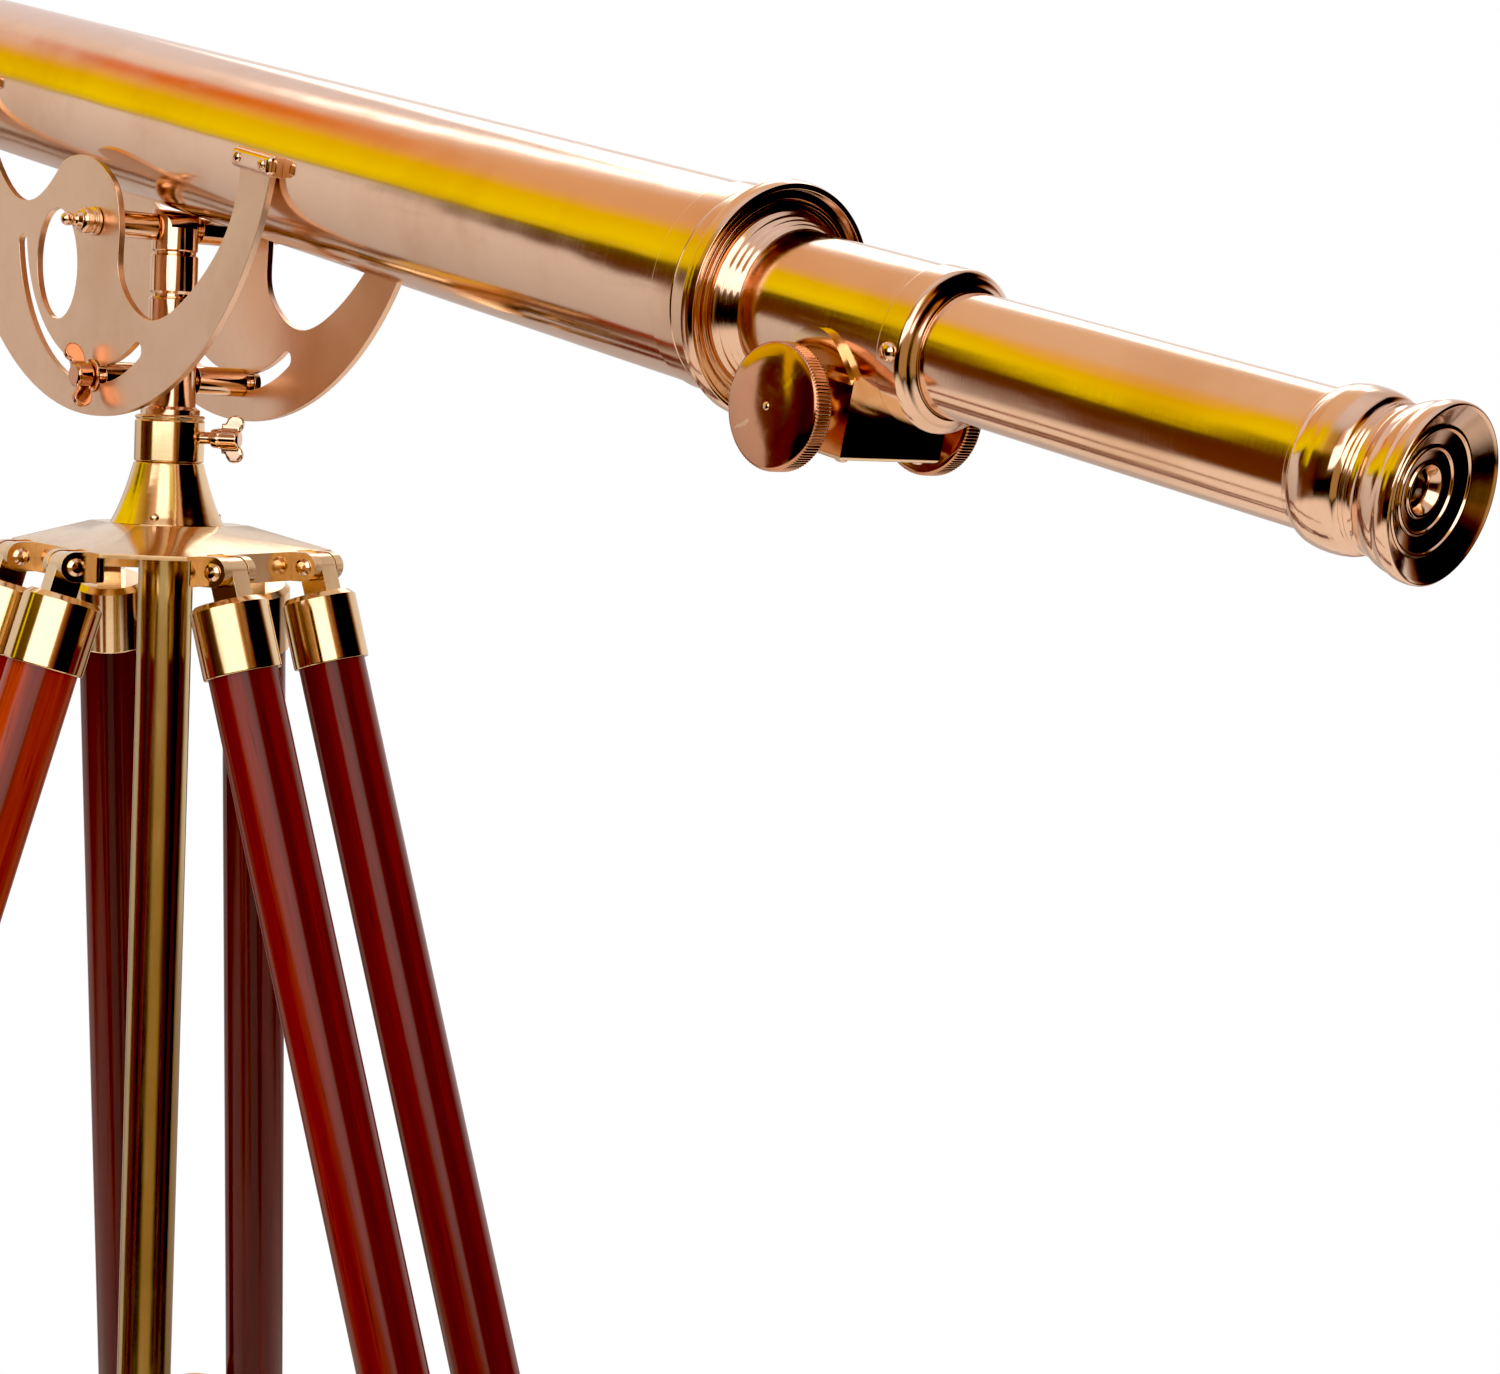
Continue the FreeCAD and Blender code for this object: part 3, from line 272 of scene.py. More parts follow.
# Darker, redder copy of the brass that paints in shade on the focus knobs; the tilt wing uses it too.
KNOB_PAINTED_SHADE = brass("brass_knob_painted_shade", (0.70, 0.36, 0.22), (0.46, 0.18, 0.08), turned=0.4, waves=1.2, tarnish=0.5)
# Darker olive brass for the column tube.
DARK_OLIVE = brass("brass_dark_olive", DARK_OLIVE_BRASS, (0.22, 0.14, 0.05), rough=0.15, turned=0.6, tarnish=0.25)
# Each leg's mahogany is scaled in brightness and warmth: painted light on leg 3, painted shade on legs 1 and 2.
WOODS_LIT_AND_SHADED = {1: mahogany("mahogany_painted_half_shade", 0.85, 0.8), 2: mahogany("mahogany_painted_shade", 0.5, 0.7),
         3: mahogany("mahogany_painted_lit", 1.55, 1.25)}
GLASS = lens_glass()
BLACK = optical_black()


# ---- making and placing pieces ---------------------------------------------------
def add_piece(name, mesh, matrix, body, material, stands_for=(), weighted=True):
    """Put a finished mesh in the scene, on its body, in place of its CAD nodes."""
    if material == ON_TUBE:
        mesh.transform(matrix)
        matrix = Matrix.Identity(4)
    mesh.materials.clear()
    mesh.materials.append(material)
    mesh.shade_smooth()
    piece = bpy.data.objects.new(name, mesh)
    bpy.context.scene.collection.objects.link(piece)
    piece.matrix_world = matrix
    if weighted:
        normals = piece.modifiers.new("weighted_normals", "WEIGHTED_NORMAL")
        normals.keep_sharp = True
    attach(piece, body)
    if stands_for:
        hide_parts(*stands_for)
    return piece


def mesh_from(name, verts, faces):
    mesh = bpy.data.meshes.new(name)
    mesh.from_pydata(verts, [], faces)
    made = bmesh.new()
    made.from_mesh(mesh)
    bmesh.ops.recalc_face_normals(made, faces=made.faces)
    made.to_mesh(mesh)
    made.free()
    return mesh


def turn_at(before, here, after):
    """How sharply an outline turns at a point, in degrees."""
    a, b = here - before, after - here
    if a.length < 1e-9 or b.length < 1e-9:
        return 0.0
    return abs(degrees(a.angle_signed(b)))


def soften(points, closed, radius):
    """Round the sharp corners of an outline to a small radius and smooth its gentle ones."""
    gentle, most_steps = 34.0, 4
    out = []
    count = len(points)
    for i, here in enumerate(points):
        if not closed and i in (0, count - 1):
            out.append(here)
            continue
        before, after = points[i - 1], points[(i + 1) % count]
        turn = turn_at(before, here, after)
        if turn < 0.5:
            out.append(here)
            continue
        to_a, to_b = before - here, after - here
        room = min(to_a.length, to_b.length)
        cut = room * 0.5 if turn < gentle else min(radius, 0.42 * room)
        start, end = here + to_a.normalized() * cut, here + to_b.normalized() * cut
        many = max(2, min(most_steps, ceil(turn / 20)))
        for k in range(many + 1):
            t = k / many
            out.append(start * (1 - t) ** 2 + here * 2 * t * (1 - t) + end * t * t)
    clean = []
    for p in out:
        if not clean or (p - clean[-1]).length > SAME_SPOT:
            clean.append(p)
    if closed and (clean[0] - clean[-1]).length < SAME_SPOT:
        clean.pop()
    return clean


def outlines(node, base, axis, reach=1.0):
    """Outlines of a turned CAD node as (along, radius) points, read along its seam."""
    axis = axis.normalized()
    side = axis.orthogonal().normalized()
    up = axis.cross(side)
    mesh = nodes[node].data
    keys, bins = {}, {}
    for vertex in mesh.vertices:
        offset = vertex.co - base
        along = offset.dot(axis)
        across = offset - axis * along
        r = across.length
        if r > reach:
            continue
        key = (round(along, 6), round(r, 6))
        if r < SAME_SPOT:
            keys[vertex.index] = (key, None)
            continue
        angle = round(degrees(atan2(across.dot(up), across.dot(side))) * 2) % 720
        keys[vertex.index] = (key, angle)
        bins.setdefault(angle, set()).add(key)
    seam = max(sorted(bins), key=lambda a: len(bins[a]))
    links = {}
    for edge in mesh.edges:
        a, b = (keys.get(v) for v in edge.vertices)
        if not a or not b or a[0] == b[0]:
            continue
        if all(k[1] in (None, seam) for k in (a, b)) and not (a[1] is None and b[1] is None):
            links.setdefault(a[0], set()).add(b[0])
            links.setdefault(b[0], set()).add(a[0])
    found, used = [], set()
    for start in sorted(links, key=lambda k: (len(links[k]), k)):
        if start in used:
            continue
        chain, here = [start], start
        used.add(start)
        while True:
            onward = sorted(k for k in links[here] if k not in used)
            if not onward:
                break
            here = onward[0]
            used.add(here)
            chain.append(here)
        closed = len(chain) > 2 and start in links[here]
        points = [Vector(k) for k in chain]
        if not closed:
            if points[0].y > SAME_SPOT:
                points.insert(0, Vector((points[0].x, 0.0)))
            if points[-1].y > SAME_SPOT:
                points.append(Vector((points[-1].x, 0.0)))
        found.append((points, closed))
    return found


def spun(points, closed, segments, wobble=None):
    """Vertices and faces of an outline turned about local Z."""
    verts, faces, rings = [], [], []
    for along, r in points:
        if r < SAME_SPOT:
            rings.append([len(verts)])
            verts.append((0.0, 0.0, along))
            continue
        rings.append(list(range(len(verts), len(verts) + segments)))
        for s in range(segments):
            angle = 2 * pi * s / segments
            radius = wobble(along, r, angle) if wobble else r
            verts.append((radius * cos(angle), radius * sin(angle), along))
    pairs = list(zip(rings, rings[1:])) + ([(rings[-1], rings[0])] if closed else [])
    for a, b in pairs:
        for s in range(segments):
            t = (s + 1) % segments
            quad = [a[s % len(a)], a[t % len(a)], b[t % len(b)], b[s % len(b)]]
            face = list(dict.fromkeys(quad))
            if len(face) > 2:
                faces.append(face)
    return verts, faces


def join_parts(parts):
    """One vertex and face list from several."""
    verts, faces = [], []
    for some_verts, some_faces in parts:
        start = len(verts)
        verts += some_verts
        faces += [[i + start for i in face] for face in some_faces]
    return verts, faces


def lathe(name, profiles, base, axis, body, material, stands_for, segments, radius=SOFT_CORNER, wobble=None):
    """Turned piece from one or more outlines, with softened corners."""
    parts = [spun(soften(points, closed, radius), closed, segments, wobble) for points, closed in profiles]
    mesh = mesh_from(name, *join_parts(parts))
    return add_piece(name, mesh, axis_matrix(base, axis), body, material, stands_for)


def lathe_node(node, base, axis, body, material, segments=128, radius=SOFT_CORNER):
    """Turned piece from the outlines that one CAD node holds."""
    return lathe(node + "_turned", outlines(node, base, axis), base, axis, body, material, [node], segments, radius)


def rejoined(mesh):
    """The mesh with split vertices merged and its flat triangles rejoined."""
    made = bmesh.new()
    made.from_mesh(mesh)
    bmesh.ops.remove_doubles(made, verts=made.verts, dist=SAME_SPOT)
    bmesh.ops.dissolve_degenerate(made, dist=SAME_SPOT, edges=made.edges)
    bmesh.ops.dissolve_limit(made, angle_limit=radians(0.8), use_dissolve_boundaries=False, verts=made.verts,
                             edges=made.edges)
    return made


def extent(made):
    """Lowest and highest coordinates of a bmesh, to catch a bevel that overshoots."""
    return [pick(v.co[i] for v in made.verts) for pick in (min, max) for i in range(3)]


def refine(node, body, material, width, steps=3, base=None, axis=None):
    """Copy of a CAD node with its flat faces rejoined and its edges bevelled."""
    mesh = nodes[node].data.copy()
    matrix = axis_matrix(base, axis) if base is not None else Matrix.Identity(4)
    mesh.transform(matrix.inverted())
    if "custom_normal" in mesh.attributes:
        mesh.attributes.remove(mesh.attributes["custom_normal"])
    made = rejoined(mesh)
    limits = extent(made)
    while width > 0.02 * MM:
        edges = [e for e in made.edges if len(e.link_faces) == 2 and e.calc_face_angle(0) > radians(SHARP_EDGE)]
        bmesh.ops.bevel(made, geom=edges, offset=width, offset_type="OFFSET", segments=steps, profile=0.5,
                        affect="EDGES", clamp_overlap=True)
        if all(abs(a - b) < 0.05 * MM for a, b in zip(extent(made), limits)):
            break
        made.free()
        made, width = rejoined(mesh), width * 0.6
    bmesh.ops.recalc_face_normals(made, faces=made.faces)
    for edge in made.edges:
        edge.smooth = not (len(edge.link_faces) == 2 and edge.calc_face_angle(0) > radians(CREASE))
    for face in made.faces:
        face.smooth = True
    made.to_mesh(mesh)
    made.free()
    mesh.name = node + "_refined"
    return add_piece(mesh.name, mesh, matrix, body, material, [node])


def applied(mesh, *modifiers):
    """A mesh with modifiers applied; each is (kind, {setting: value})."""
    holder = bpy.data.objects.new("holder", mesh)
    bpy.context.scene.collection.objects.link(holder)
    for kind, settings in modifiers:
        modifier = holder.modifiers.new(kind.lower(), kind)
        for key, value in settings.items():
            setattr(modifier, key, value)
    bpy.context.view_layer.update()
    result = bpy.data.meshes.new_from_object(holder.evaluated_get(bpy.context.evaluated_depsgraph_get()))
    bpy.data.objects.remove(holder)
    return result


def cast(node, body, material, base, axis):
    """Copy of a CAD node flowed together like a casting, by a fine remesh and smoothing."""
    mesh = nodes[node].data.copy()
    matrix = axis_matrix(base, axis)
    mesh.transform(matrix.inverted())
    mesh = applied(mesh, ("WELD", {"merge_threshold": SAME_SPOT}),
                   ("REMESH", {"mode": "VOXEL", "voxel_size": VOXEL, "use_smooth_shade": True}),
                   ("SMOOTH", {"factor": 0.5, "iterations": FLOW_PASSES}))
    return add_piece(node + "_cast", mesh, matrix, body, material, [node], weighted=False)


def box_parts(low, high):
    """Vertices and faces of a box: a cutter, or a start for a rounded bar."""
    verts = [(x, y, z) for x in (low[0], high[0]) for y in (low[1], high[1]) for z in (low[2], high[2])]
    faces = [[0, 1, 3, 2], [4, 6, 7, 5], [0, 4, 5, 1], [2, 3, 7, 6], [0, 2, 6, 4], [1, 5, 7, 3]]
    return verts, faces


def carved(mesh, low, high):
    """The mesh less a box, both in the mesh's own frame."""
    cutter = bpy.data.objects.new("cutter", mesh_from("cutter", *box_parts(low, high)))
    bpy.context.scene.collection.objects.link(cutter)
    result = applied(mesh, ("BOOLEAN", {"operation": "DIFFERENCE", "object": cutter, "solver": "EXACT"}))
    bpy.data.objects.remove(cutter)
    return result


def slotted_head(r, height):
    """Round screw head on local Z with a slot across it; it starts a little below zero."""
    seat, slot, steps = 0.3 * MM, 0.24, 8
    outline = [Vector((-seat, 0.0)), Vector((-seat, r * 0.96)), Vector((0.0, r)), Vector((height * 0.12, r))]
    for i in range(1, steps + 1):
        angle = pi / 2 * i / steps
        outline.append(Vector((height * (0.12 + 0.88 * sin(angle)), r * cos(angle) * 0.985)))
    outline[-1].y = 0.0
    mesh = mesh_from("head", *spun(outline, False, 48))
    half = r * slot / 2
    return carved(mesh, (-2 * r, -half, height * 0.45), (2 * r, half, 2 * height))


def screws(name, places, r, height, body, stands_for):
    """One piece of equal slotted heads; places are (point, axis, slot angle in degrees)."""
    head = slotted_head(r, height)
    base = places[0][0]
    merged = bmesh.new()
    for point, axis, angle in places:
        copy = head.copy()
        copy.transform(Matrix.Translation(-base) @ axis_matrix(point, axis) @ Matrix.Rotation(radians(angle), 4, "Z"))
        merged.from_mesh(copy)
        bpy.data.meshes.remove(copy)
    mesh = bpy.data.meshes.new(name)
    merged.to_mesh(mesh)
    merged.free()
    return add_piece(name, mesh, Matrix.Translation(base), body, SMALL, stands_for)


def tube_point(along, side=0.0, up=0.0):
    """Point in the telescope's level frame, about the tube axis, in millimetres."""
    return TUBE_BASE + TUBE_DIR * along * MM + Y_AXIS * side * MM + TUBE_UP * up * MM


# ---- telescope ---------------------------------------------------------------------
def build_telescope():
    """Tube with its hood, objective, tail and focuser housing, and the cradle's two plates."""
    for node, segments in (("main_tube", 224), ("tail_piece", 224), ("focuser_collar", 192)):
        lathe_node(node, TUBE_BASE, TUBE_DIR, "telescope", POLISHED, segments)
    lathe_node("objective_hood", TUBE_BASE, TUBE_DIR, "telescope", ON_TUBE, 192)
    for node, material in (("objective_cell", POLISHED), ("lens_retainer", POLISHED), ("draw_guide", POLISHED),
                           ("light_baffle", BLACK), ("objective_lenses", GLASS)):
        lathe_node(node, TUBE_BASE, TUBE_DIR, "telescope", material, 128)
    refine("focuser_tube", "telescope", POLISHED, 0.3 * MM, base=TUBE_BASE, axis=TUBE_DIR)
    refine("pinion_housing", "telescope", CAST, 0.8 * MM, base=TUBE_BASE, axis=TUBE_DIR)
    for node in ("cradle_plate_near", "cradle_plate_far"):
        refine(node, "telescope", FLAT, 0.55 * MM, 4, base=AXLE, axis=Y_AXIS)


def rounded_box(size, radius):
    """Mesh of a box about its own centre with all its edges rounded."""
    half = [c / 2 for c in size]
    made = bmesh.new()
    made.from_mesh(mesh_from("box", *box_parts([-c for c in half], half)))
    bmesh.ops.bevel(made, geom=made.edges[:], offset=radius, segments=5, profile=0.5, affect="EDGES",
                    clamp_overlap=True)
    mesh = bpy.data.meshes.new("rounded")
    made.to_mesh(mesh)
    made.free()
    return mesh


def build_horn_bars():
    """Short rounded bars that lie along the tube at the tips of the cradle's horns."""
    size, radius = (8.6 * MM, 5.6 * MM, 31.5 * MM), 2.4 * MM
    middle_out, face_out, rise, screw_along = 42.6, 45.2, 0.6, 10.0      # millimetres
    spots = []
    for label, along in (("front", HORN_FRONT), ("rear", HORN_REAR)):
        for side, place in ((-1, "near"), (1, "far")):
            matrix = axis_matrix(tube_point(along, side * middle_out, rise), TUBE_DIR)
            add_piece("horn_bar_%s_%s" % (label, place), rounded_box(size, radius), matrix, "telescope", SMALL)
            for offset in (-screw_along, screw_along):
                spot = tube_point(along + offset, side * face_out, rise)
                spots.append((spot, Y_AXIS * side, 25 + 40 * offset + 9 * side))
    screws("horn_screw_heads", spots, 2.6 * MM, 1.7 * MM, "telescope", stands_for=["pad_screws"])


def build_draw():
    """Draw tube with its rack, eyepiece cap and lenses."""
    for node, material in (("eyepiece_cap", ON_TUBE), ("lens_cell", BLACK), ("eyepiece_lenses", GLASS)):
        lathe_node(node, TUBE_BASE, TUBE_DIR, "draw", material, 192, 0.22 * MM)
    refine("draw_tube", "draw", POLISHED, 0.3 * MM, base=TUBE_BASE, axis=TUBE_DIR)
    refine("rack", "draw", SMALL, 0.12 * MM, 2, base=TUBE_BASE, axis=TUBE_DIR)


def knurled(along, r, angle):
    """Radius with fine straight knurling on the knob's rim."""
    if r < KNOB_R - TOOTH_DEPTH:
        return r
    return r - TOOTH_DEPTH * (0.5 - 0.5 * cos(TEETH * angle))


def build_knobs():
    """Knobs with a recessed back, a knurled rim and a domed face; outline points are in millimetres."""
    for side, label in ((-1, "near"), (1, "far")):
        outline = [(-7.6, 3.05), (-7.6, 5.0), (-6.8, 5.6), (-2.4, 5.6), (-1.2, 6.2), (0.0, 7.6), (0.4, 12.0),
                   (0.2, 19.0), (0.0, 20.6), (0.5, 21.6), (1.1, 22.2), (7.0, 22.2), (7.5, 21.7), (8.0, 20.9)]
        rim, front, rise, steps = outline[-1][1], KNOB_T / MM, KNOB_DOME / MM, 8
        outline += [(front + rise * (1 - (i / steps) ** 3), rim * i / steps) for i in range(steps - 1, -1, -1)]
        points = [Vector((a * MM, r * MM)) for a, r in outline]
        base = PINION + Y_AXIS * side * KNOB_IN
        lathe("focus_knob_" + label, [(points, False)], base, Y_AXIS * side, "pinion", KNOB_PAINTED_SHADE,
              ["focus_knobs"], TEETH * 6, 0.3 * MM, knurled)
    crown = KNOB_IN + KNOB_T + KNOB_DOME - 0.1 * MM
    tips = [(PINION + Y_AXIS * side * crown, Y_AXIS * side, 35 * side) for side in (-1, 1)]
    screws("knob_screw_heads", tips, 1.5 * MM, 0.7 * MM, "pinion", stands_for=["knob_screws"])
    refine("pinion", "pinion", SMALL, 0.1 * MM, 2, base=PINION, axis=Y_AXIS)


def build_small_screws():
    """Collar screw on the near side, and four under the pinion housing; places in millimetres."""
    aim = (Y_AXIS * -0.997 - TUBE_UP * 0.07).normalized()
    seat = tube_point(502.8) + aim * 28.3 * MM
    screws("collar_screw_head", [(seat, aim, 30)], 3.4 * MM, 2.5 * MM, "telescope", stands_for=["collar_screw"])
    low = [(tube_point(along, side, -43.1), TUBE_UP * -1, 20 + 7 * side)
           for along in (461.0, 482.0) for side in (-19.0, 19.0)]
    screws("housing_screw_heads", low, 2.4 * MM, 1.35 * MM, "telescope", stands_for=["housing_screws"])


# ---- cradle, pillar and column -----------------------------------------------------
def build_stand_top():
    """Pillar with its cross pieces, column, hub, tripod head and their wing screws."""
    refine("pillar", "pillar", POLISHED, 0.5 * MM, base=COLUMN, axis=Z_AXIS)
    lathe_node("sleeve", COLUMN, Z_AXIS, "column", STAND, 128)
    lathe_node("column_tube", COLUMN, Z_AXIS, "column", DARK_OLIVE, 128)
    lathe_node("column_cap", COLUMN, Z_AXIS, "column", POLISHED, 96)
    lathe_node("hub_cone", COLUMN, Z_AXIS, "head", STAND, 160)
    refine("pivot_finials", "pillar", POLISHED, 0.2 * MM, base=AXLE, axis=Y_AXIS)
    refine("clamp_bolt", "pillar", SMALL, 0.3 * MM, base=AXLE, axis=Y_AXIS)
    refine("cross_tubes", "pillar", POLISHED, 0.3 * MM, base=AXLE, axis=Y_AXIS)
    refine("pivot_axle", "pillar", SMALL, 0.2 * MM, base=AXLE, axis=Y_AXIS)
    refine("tripod_head", "head", CAST, 0.9 * MM)
    cast("tilt_wing", "tilt_wing", KNOB_PAINTED_SHADE, base=joint_point("tilt_wing_turn"), axis=joint_axis("tilt_wing_turn"))
    for node in ("azimuth_screw", "column_lock"):
        cast(node, node, POLISHED, base=joint_point(node + "_turn"), axis=joint_axis(node + "_turn"))


# ---- legs --------------------------------------------------------------------------
def build_leg(n):
    """One leg: two upper rods with their fittings, and the lower rod that slides between them."""
    hinge, fold = joint_point("leg_fold_%d" % n), joint_axis("leg_fold_%d" % n)
    down, out = joint_axis("leg_extend_%d" % n), joint_axis("leg_wing_turn_%d" % n)
    middle = hinge - out * ROD_INSET * sqrt(1 - (down.x ** 2 + down.y ** 2))
    leg, lower = "leg_%d" % n, "lower_%d" % n
    rods, lower_rod = "leg_rods_%d" % n, "lower_rod_%d" % n
    segments, end_radius, rod_reach = 96, 0.8 * MM, 20 * MM
    for side, label in ((-1, "a"), (1, "b")):
        base = middle + fold * side * ROD_HALF
        lathe("%s_%s" % (rods, label), outlines(rods, base, down, rod_reach), base, down, leg, WOODS_LIT_AND_SHADED[n], [rods],
              segments, end_radius)
    lathe_node(lower_rod, middle, down, lower, WOODS_LIT_AND_SHADED[n], segments, end_radius)
    refine("leg_ferrules_%d" % n, leg, STAND, 0.6 * MM, base=middle, axis=down)
    refine("leg_bracket_%d" % n, leg, CAST, 0.8 * MM, base=middle, axis=down)
    refine("lower_guide_%d" % n, lower, CAST, 0.7 * MM, base=middle, axis=down)
    refine("foot_shoe_%d" % n, lower, CAST, 0.4 * MM)
    cast("leg_wing_%d" % n, "leg_wing_%d" % n, POLISHED, base=joint_point("leg_wing_turn_%d" % n), axis=out)


# ---- stage, lights and camera --------------------------------------------------------
def build_floor():
    """Pale round floor that fades out at its edge."""
    reach, rings, segments = 2.2, 24, 96
    fade_from, fade_to, below = 1.45, 2.18, 0.2 * MM
    points = [Vector((0.0, reach * i / rings)) for i in range(rings + 1)]
    verts, faces = spun(points, False, segments)
    floor = bpy.data.objects.new("floor", mesh_from("floor", verts, faces))
    bpy.context.scene.collection.objects.link(floor)
    floor.location.z = -below
    material, graph, shader, place = new_material("floor_paint", Roughness=0.85)
    far = graph.add("ShaderNodeVectorMath", {0: place}, operation="LENGTH").outputs["Value"]
    cloud = graph.noise(place, 3.0, 4.0)
    graph.feed(shader.inputs["Base Color"], graph.mix(graph.scale(cloud, 0.3, 0.7), (0.80, 0.78, 0.77, 1.0),
                                                      (0.86, 0.84, 0.83, 1.0)))
    graph.feed(shader.inputs["Alpha"], graph.scale(far, fade_from, fade_to, 1.0, 0.0))
    floor.data.materials.append(material)


def build_world():
    """White to the camera; to reflections a dim warm room, soft boxes, a window and coloured screens.

    The room is laid out by compass angle from the near side towards the eyepiece
    (around) and by height above the horizon (rise), in degrees.  The screens are
    laid out by the angle from the tube's forward direction (away) and the angle
    round the tube (roll), so that their edges run along the tube.
    """
    world = bpy.data.worlds.new("studio")
    bpy.context.scene.world = world
    world.use_nodes = True
    graph = Graph(world.node_tree)
    ray = graph.add("ShaderNodeTexCoord").outputs["Generated"]

    def along(direction):
        return graph.add("ShaderNodeVectorMath", {0: ray, 1: direction}, operation="DOT_PRODUCT").outputs["Value"]

    def angle_of(y, x):
        return graph.math("MULTIPLY", graph.math("ARCTAN2", y, x), 180 / pi)

    def between(value, low, high, soft):
        return graph.math("MULTIPLY", graph.scale(value, low - soft, low + soft),
                          graph.scale(value, high - soft, high + soft, 1.0, 0.0))

    near = along(-Y_AXIS)
    around = angle_of(along(X_AXIS), near)
    rise = graph.math("MULTIPLY", graph.math("ARCSINE", along(Z_AXIS)), 180 / pi)
    away = graph.math("MULTIPLY", graph.math("ARCCOSINE", along(-TUBE_DIR)), 180 / pi)
    roll = angle_of(along(TUBE_UP), near)

    ring = graph.ramp(graph.scale(around, -180.0, 180.0, smooth=False), [
        ((180 + a) / 360, colour) for a, colour in (
            (-180, PALE), (-120, PALE), (-60, BEIGE), (-49, BEIGE), (-43, (0.11, 0.030, 0.015)),
            (-25, (0.045, 0.022, 0.010)), (0, (0.10, 0.055, 0.015)), (12, (0.06, 0.030, 0.012)),
            (62, (0.20, 0.08, 0.03)), (74, (0.48, 0.20, 0.08)), (84, (0.16, 0.06, 0.03)), (92, NIGHT),
            (156, NIGHT), (164, (0.22, 0.10, 0.06)), (172, BEIGE), (180, PALE))])
    middle = graph.ramp(graph.scale(around, -180.0, 180.0, smooth=False), [
        ((180 + a) / 360, colour) for a, colour in (
            (-180, (0.66, 0.58, 0.56)), (-70, (0.80, 0.66, 0.56)), (-20, (0.70, 0.46, 0.10)), (4, (0.32, 0.18, 0.06)),
            (26, (0.82, 0.52, 0.40)), (56, (0.84, 0.58, 0.50)), (64, (0.86, 0.70, 0.24)), (74, (0.80, 0.62, 0.20)),
            (82, (0.30, 0.12, 0.05)), (88, (0.60, 0.24, 0.05)), (94, (0.10, 0.03, 0.01)), (98, NIGHT), (154, NIGHT),
            (164, (0.30, 0.14, 0.08)), (172, (0.62, 0.54, 0.52)), (180, (0.66, 0.58, 0.56)))])
    dome = graph.ramp(graph.scale(rise, 0.0, 90.0, smooth=False), [
        (50 / 90, (0.62, 0.54, 0.53)), (64 / 90, (0.74, 0.67, 0.68)), (1.0, (0.82, 0.76, 0.78))])
    ceiling = graph.math("MULTIPLY", between(around, 30.0, 62.0, 3.0), between(rise, 27.0, 47.0, 2.0))
    under = graph.ramp(graph.scale(rise, -60.0, 0.0, smooth=False), [
        (0.0, (0.62, 0.56, 0.56)), (0.44, (0.58, 0.51, 0.50)), (0.47, (0.10, 0.04, 0.02)),
        (0.50, (0.48, 0.40, 0.38)), (0.60, (0.50, 0.42, 0.40)), (0.64, (0.12, 0.05, 0.03)),
        (0.67, (0.44, 0.35, 0.32)), (0.80, (0.36, 0.28, 0.25))])
    colour = graph.mix(graph.scale(rise, 14.0, 26.0), ring, middle)
    colour = graph.mix(graph.scale(rise, 42.0, 58.0), colour, dome)
    softbox = graph.math("MULTIPLY", between(around, 2.0, 72.0, 2.5), between(rise, -1.6, 27.0, 0.6))
    colour = graph.mix(softbox, colour, (2.1, 2.05, 2.0, 1.0))
    colour = graph.mix(ceiling, colour, (2.2, 2.15, 2.05, 1.0))
    darkened = graph.mix(between(around, -36.0, 158.0, 5.0), under, rgba(NIGHT))
    colour = graph.mix(graph.scale(rise, -14.0, -9.0, 1.0, 0.0), colour, darkened)
    low_glow = graph.math("MULTIPLY", between(around, 34.0, 82.0, 8.0), between(rise, -40.0, -2.0, 1.0))
    colour = graph.mix(low_glow, colour, (0.42, 0.27, 0.12, 1.0))

    low_edge = graph.math("SUBTRACT", graph.scale(away, 25.0, 45.0, 2.0, 17.0, smooth=False),
                          graph.math("MULTIPLY", between(away, 49.5, 55.0, 1.5), 24.0))
    shade_depth = graph.scale(away, 33.5, 62.0, 0.0, 92.0, smooth=False)
    shade_edge = graph.math("SUBTRACT", low_edge, shade_depth)
    strip_at = graph.scale(away, 33.0, 51.0, 97.0, 138.0, smooth=False)
    past = graph.math("SUBTRACT", roll, low_edge)
    beige = graph.ramp(graph.scale(roll, -80.0, 0.0, smooth=False), [
        (0.0, (0.52, 0.46, 0.43)), (1.0, (0.78, 0.72, 0.68))])
    screens = graph.mix(between(roll, -90.0, -80.0, 1.5), beige, (0.16, 0.07, 0.04, 1.0))
    screens = graph.mix(between(roll, -104.0, -98.0, 1.0), screens, (0.20, 0.10, 0.05, 1.0))
    shade = graph.ramp(graph.scale(past, -30.0, 0.0, smooth=False), [
        (0.0, (0.13, 0.045, 0.022)), (0.6, (0.10, 0.035, 0.016)), (0.85, (0.11, 0.065, 0.012)),
        (1.0, (0.13, 0.11, 0.010))])
    inside = graph.scale(graph.math("SUBTRACT", roll, shade_edge), -1.5, 1.5)
    screens = graph.mix(graph.math("MULTIPLY", inside, graph.scale(away, 34.0, 39.0)), screens, shade)
    yellow = graph.ramp(graph.scale(past, 0.0, 50.0, smooth=False), [
        (0.0, (0.30, 0.22, 0.03)), (0.06, (0.74, 0.62, 0.05)), (0.25, (0.92, 0.79, 0.02)), (0.6, (0.84, 0.66, 0.01)),
        (0.85, (0.84, 0.54, 0.06)), (1.0, (0.86, 0.52, 0.16))])
    screens = graph.mix(graph.scale(past, -1.2, 1.2), screens, yellow)
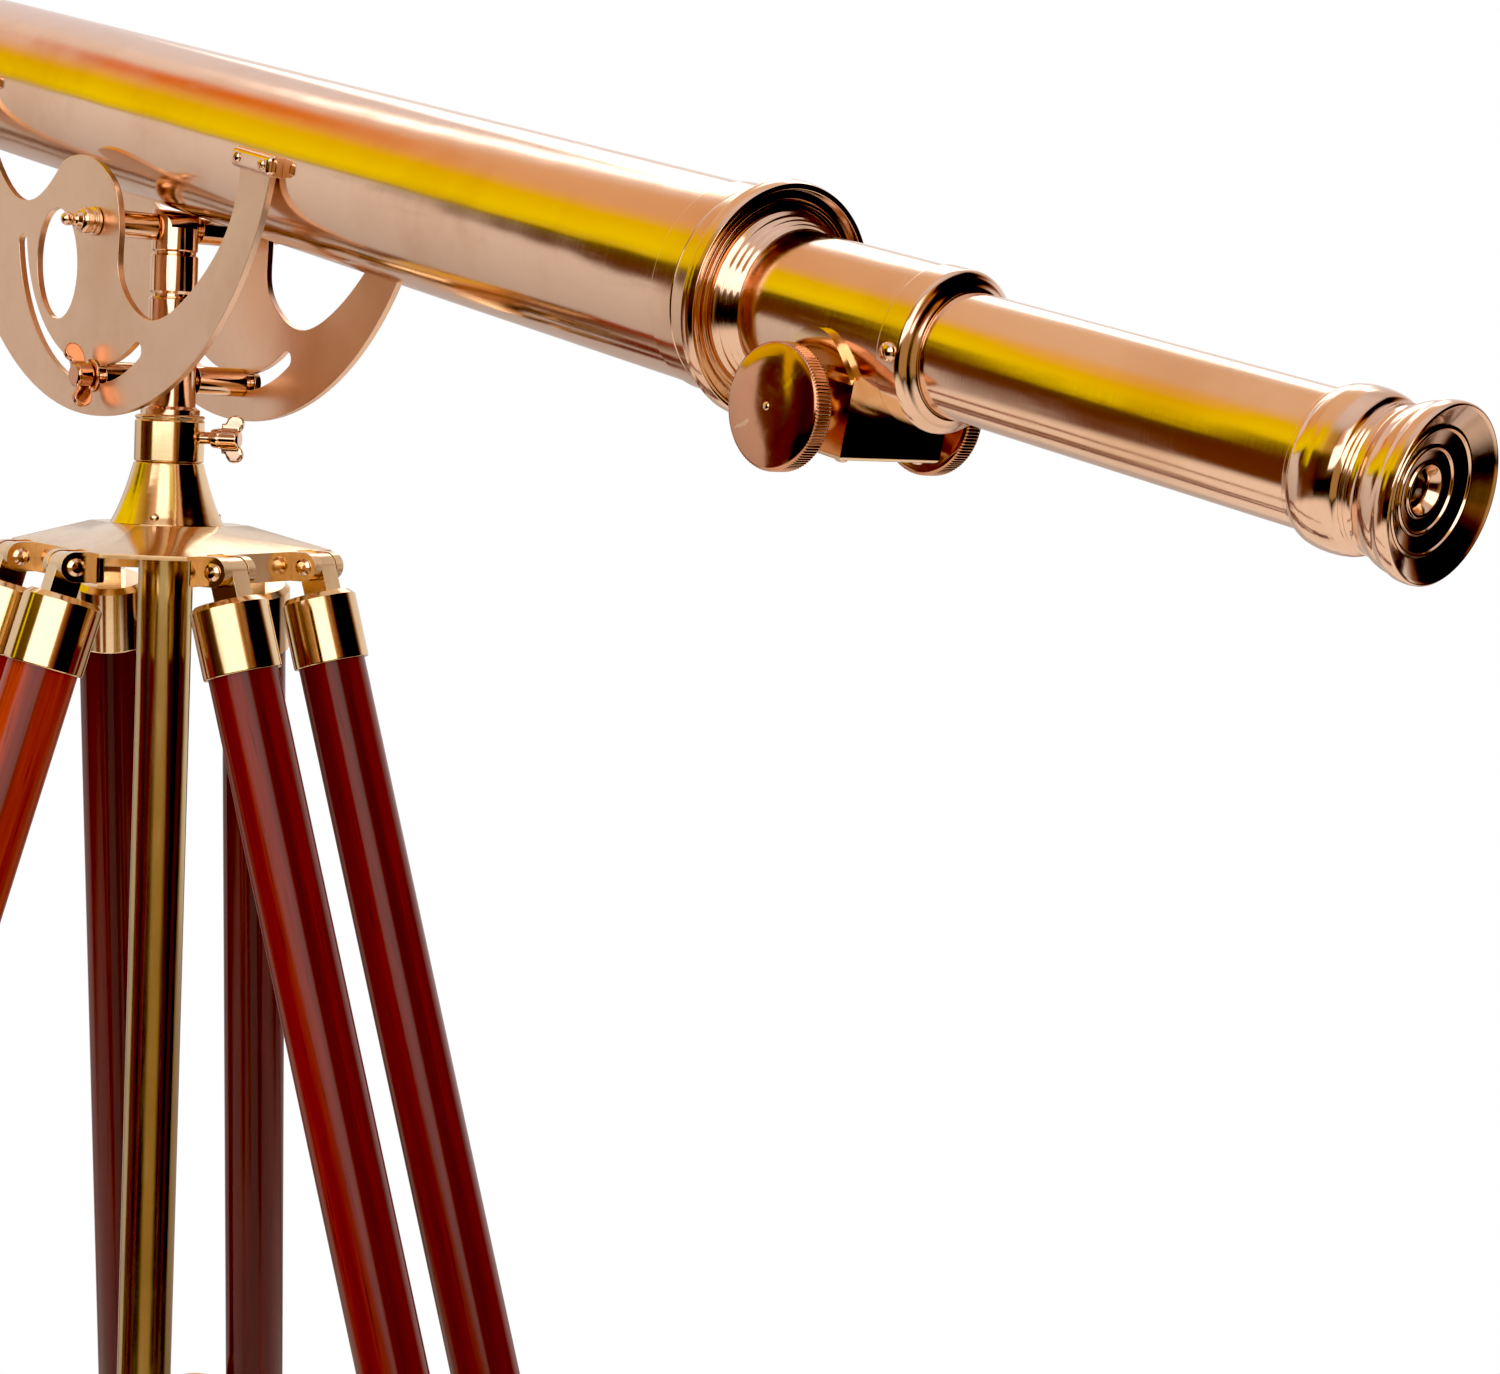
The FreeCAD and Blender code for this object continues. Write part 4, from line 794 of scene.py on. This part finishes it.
    peach = graph.ramp(graph.scale(away, 22.0, 50.0, smooth=False), [
        (0.0, (0.84, 0.74, 0.68)), (0.18, (0.84, 0.70, 0.60)), (0.26, (0.74, 0.15, 0.01)),
        (0.40, (0.76, 0.22, 0.03)), (0.54, (0.80, 0.50, 0.28)), (0.75, (0.74, 0.44, 0.24)),
        (1.0, (0.80, 0.58, 0.40))])
    screens = graph.mix(graph.scale(roll, 46.0, 70.0), screens, peach)
    over = graph.math("SUBTRACT", roll, strip_at)
    screens = graph.mix(graph.scale(over, -26.0, -8.0), screens, (0.86, 0.74, 0.68, 1.0))
    strip = graph.math("MULTIPLY", between(over, -7.0, 6.0, 1.2), graph.scale(away, 31.5, 35.0))
    screens = graph.mix(graph.scale(over, 6.0, 9.0), screens, (0.80, 0.73, 0.74, 1.0))
    screens = graph.mix(strip, screens, (2.4, 2.3, 2.3, 1.0))
    sector = between(away, 10.0, 64.0, 3.0)
    sector = graph.math("MULTIPLY", sector, graph.scale(graph.math("ABSOLUTE", roll), 168.0, 150.0))
    colour = graph.mix(sector, colour, screens)

    window = graph.math("MULTIPLY", between(around, -150.0, -119.0, 2.0), between(rise, 25.0, 44.0, 2.0))
    colour = graph.mix(window, colour, (2.4, 2.3, 2.2, 1.0))

    reflected = graph.add("ShaderNodeBackground", {0: colour, 1: 1.0})
    seen = graph.add("ShaderNodeBackground", {0: (1.0, 1.0, 1.0, 1.0), 1: 1.0})
    camera_ray = graph.add("ShaderNodeLightPath").outputs["Is Camera Ray"]
    either = graph.add("ShaderNodeMixShader", {0: camera_ray, 1: reflected.outputs[0], 2: seen.outputs[0]})
    output = graph.add("ShaderNodeOutputWorld")
    graph.feed(output.inputs[0], either.outputs[0])


def soft_light(name, place, target, size, watts, colour=(1.0, 0.97, 0.94)):
    """Square area light that isn't seen in reflections."""
    light = bpy.data.lights.new(name, "AREA")
    light.shape, light.size, light.size_y = "RECTANGLE", size, size
    light.energy, light.color = watts, colour
    lamp = bpy.data.objects.new(name, light)
    bpy.context.scene.collection.objects.link(lamp)
    lamp.location = place
    lamp.rotation_euler = (Vector(target) - Vector(place)).to_track_quat("-Z", "Y").to_euler()
    lamp.visible_glossy = False


def build_camera():
    """The photographer's place: near the eyepiece, at its height, looking towards the far left."""
    azimuth, down, roll = radians(46.49), radians(4.02), radians(2.5)
    place = Vector((1.08462, -0.63939, 1.38202))
    ahead = -Vector((sin(azimuth) * cos(down), -cos(azimuth) * cos(down), sin(down)))
    right = Vector((cos(azimuth), sin(azimuth), 0.0))
    top = right.cross(ahead)
    right, top = right * cos(roll) + top * sin(roll), top * cos(roll) - right * sin(roll)
    camera = bpy.data.cameras.new("camera")
    camera.sensor_width, camera.lens, camera.shift_y = 36.0, 60.99, -0.058
    camera.clip_start, camera.clip_end = 0.05, 50.0
    holder = bpy.data.objects.new("camera", camera)
    bpy.context.scene.collection.objects.link(holder)
    matrix = Matrix((right, top, -ahead)).transposed().to_4x4()
    matrix.translation = place
    holder.matrix_world = matrix
    bpy.context.scene.camera = holder


build_telescope()
build_horn_bars()
build_draw()
build_knobs()
build_small_screws()
build_stand_top()
for leg_number in LEGS:
    build_leg(leg_number)
for shown in ("hub_screws", "hinge_pins"):
    nodes[shown].data.materials.clear()
    nodes[shown].data.materials.append(SMALL)
build_floor()
build_world()
soft_light("overhead", (-0.6, -1.2, 3.4), (0, 0, 1.2), 2.4, 38)
soft_light("side", (2.4, 1.4, 2.4), (0, 0, 1.0), 1.8, 22, (0.94, 0.96, 1.0))
build_camera()
view = bpy.context.scene.view_settings
view.view_transform = "Standard"
view.use_curve_mapping = True
view.curve_mapping.black_level = (0.016, 0.016, 0.016)
view.curve_mapping.update()
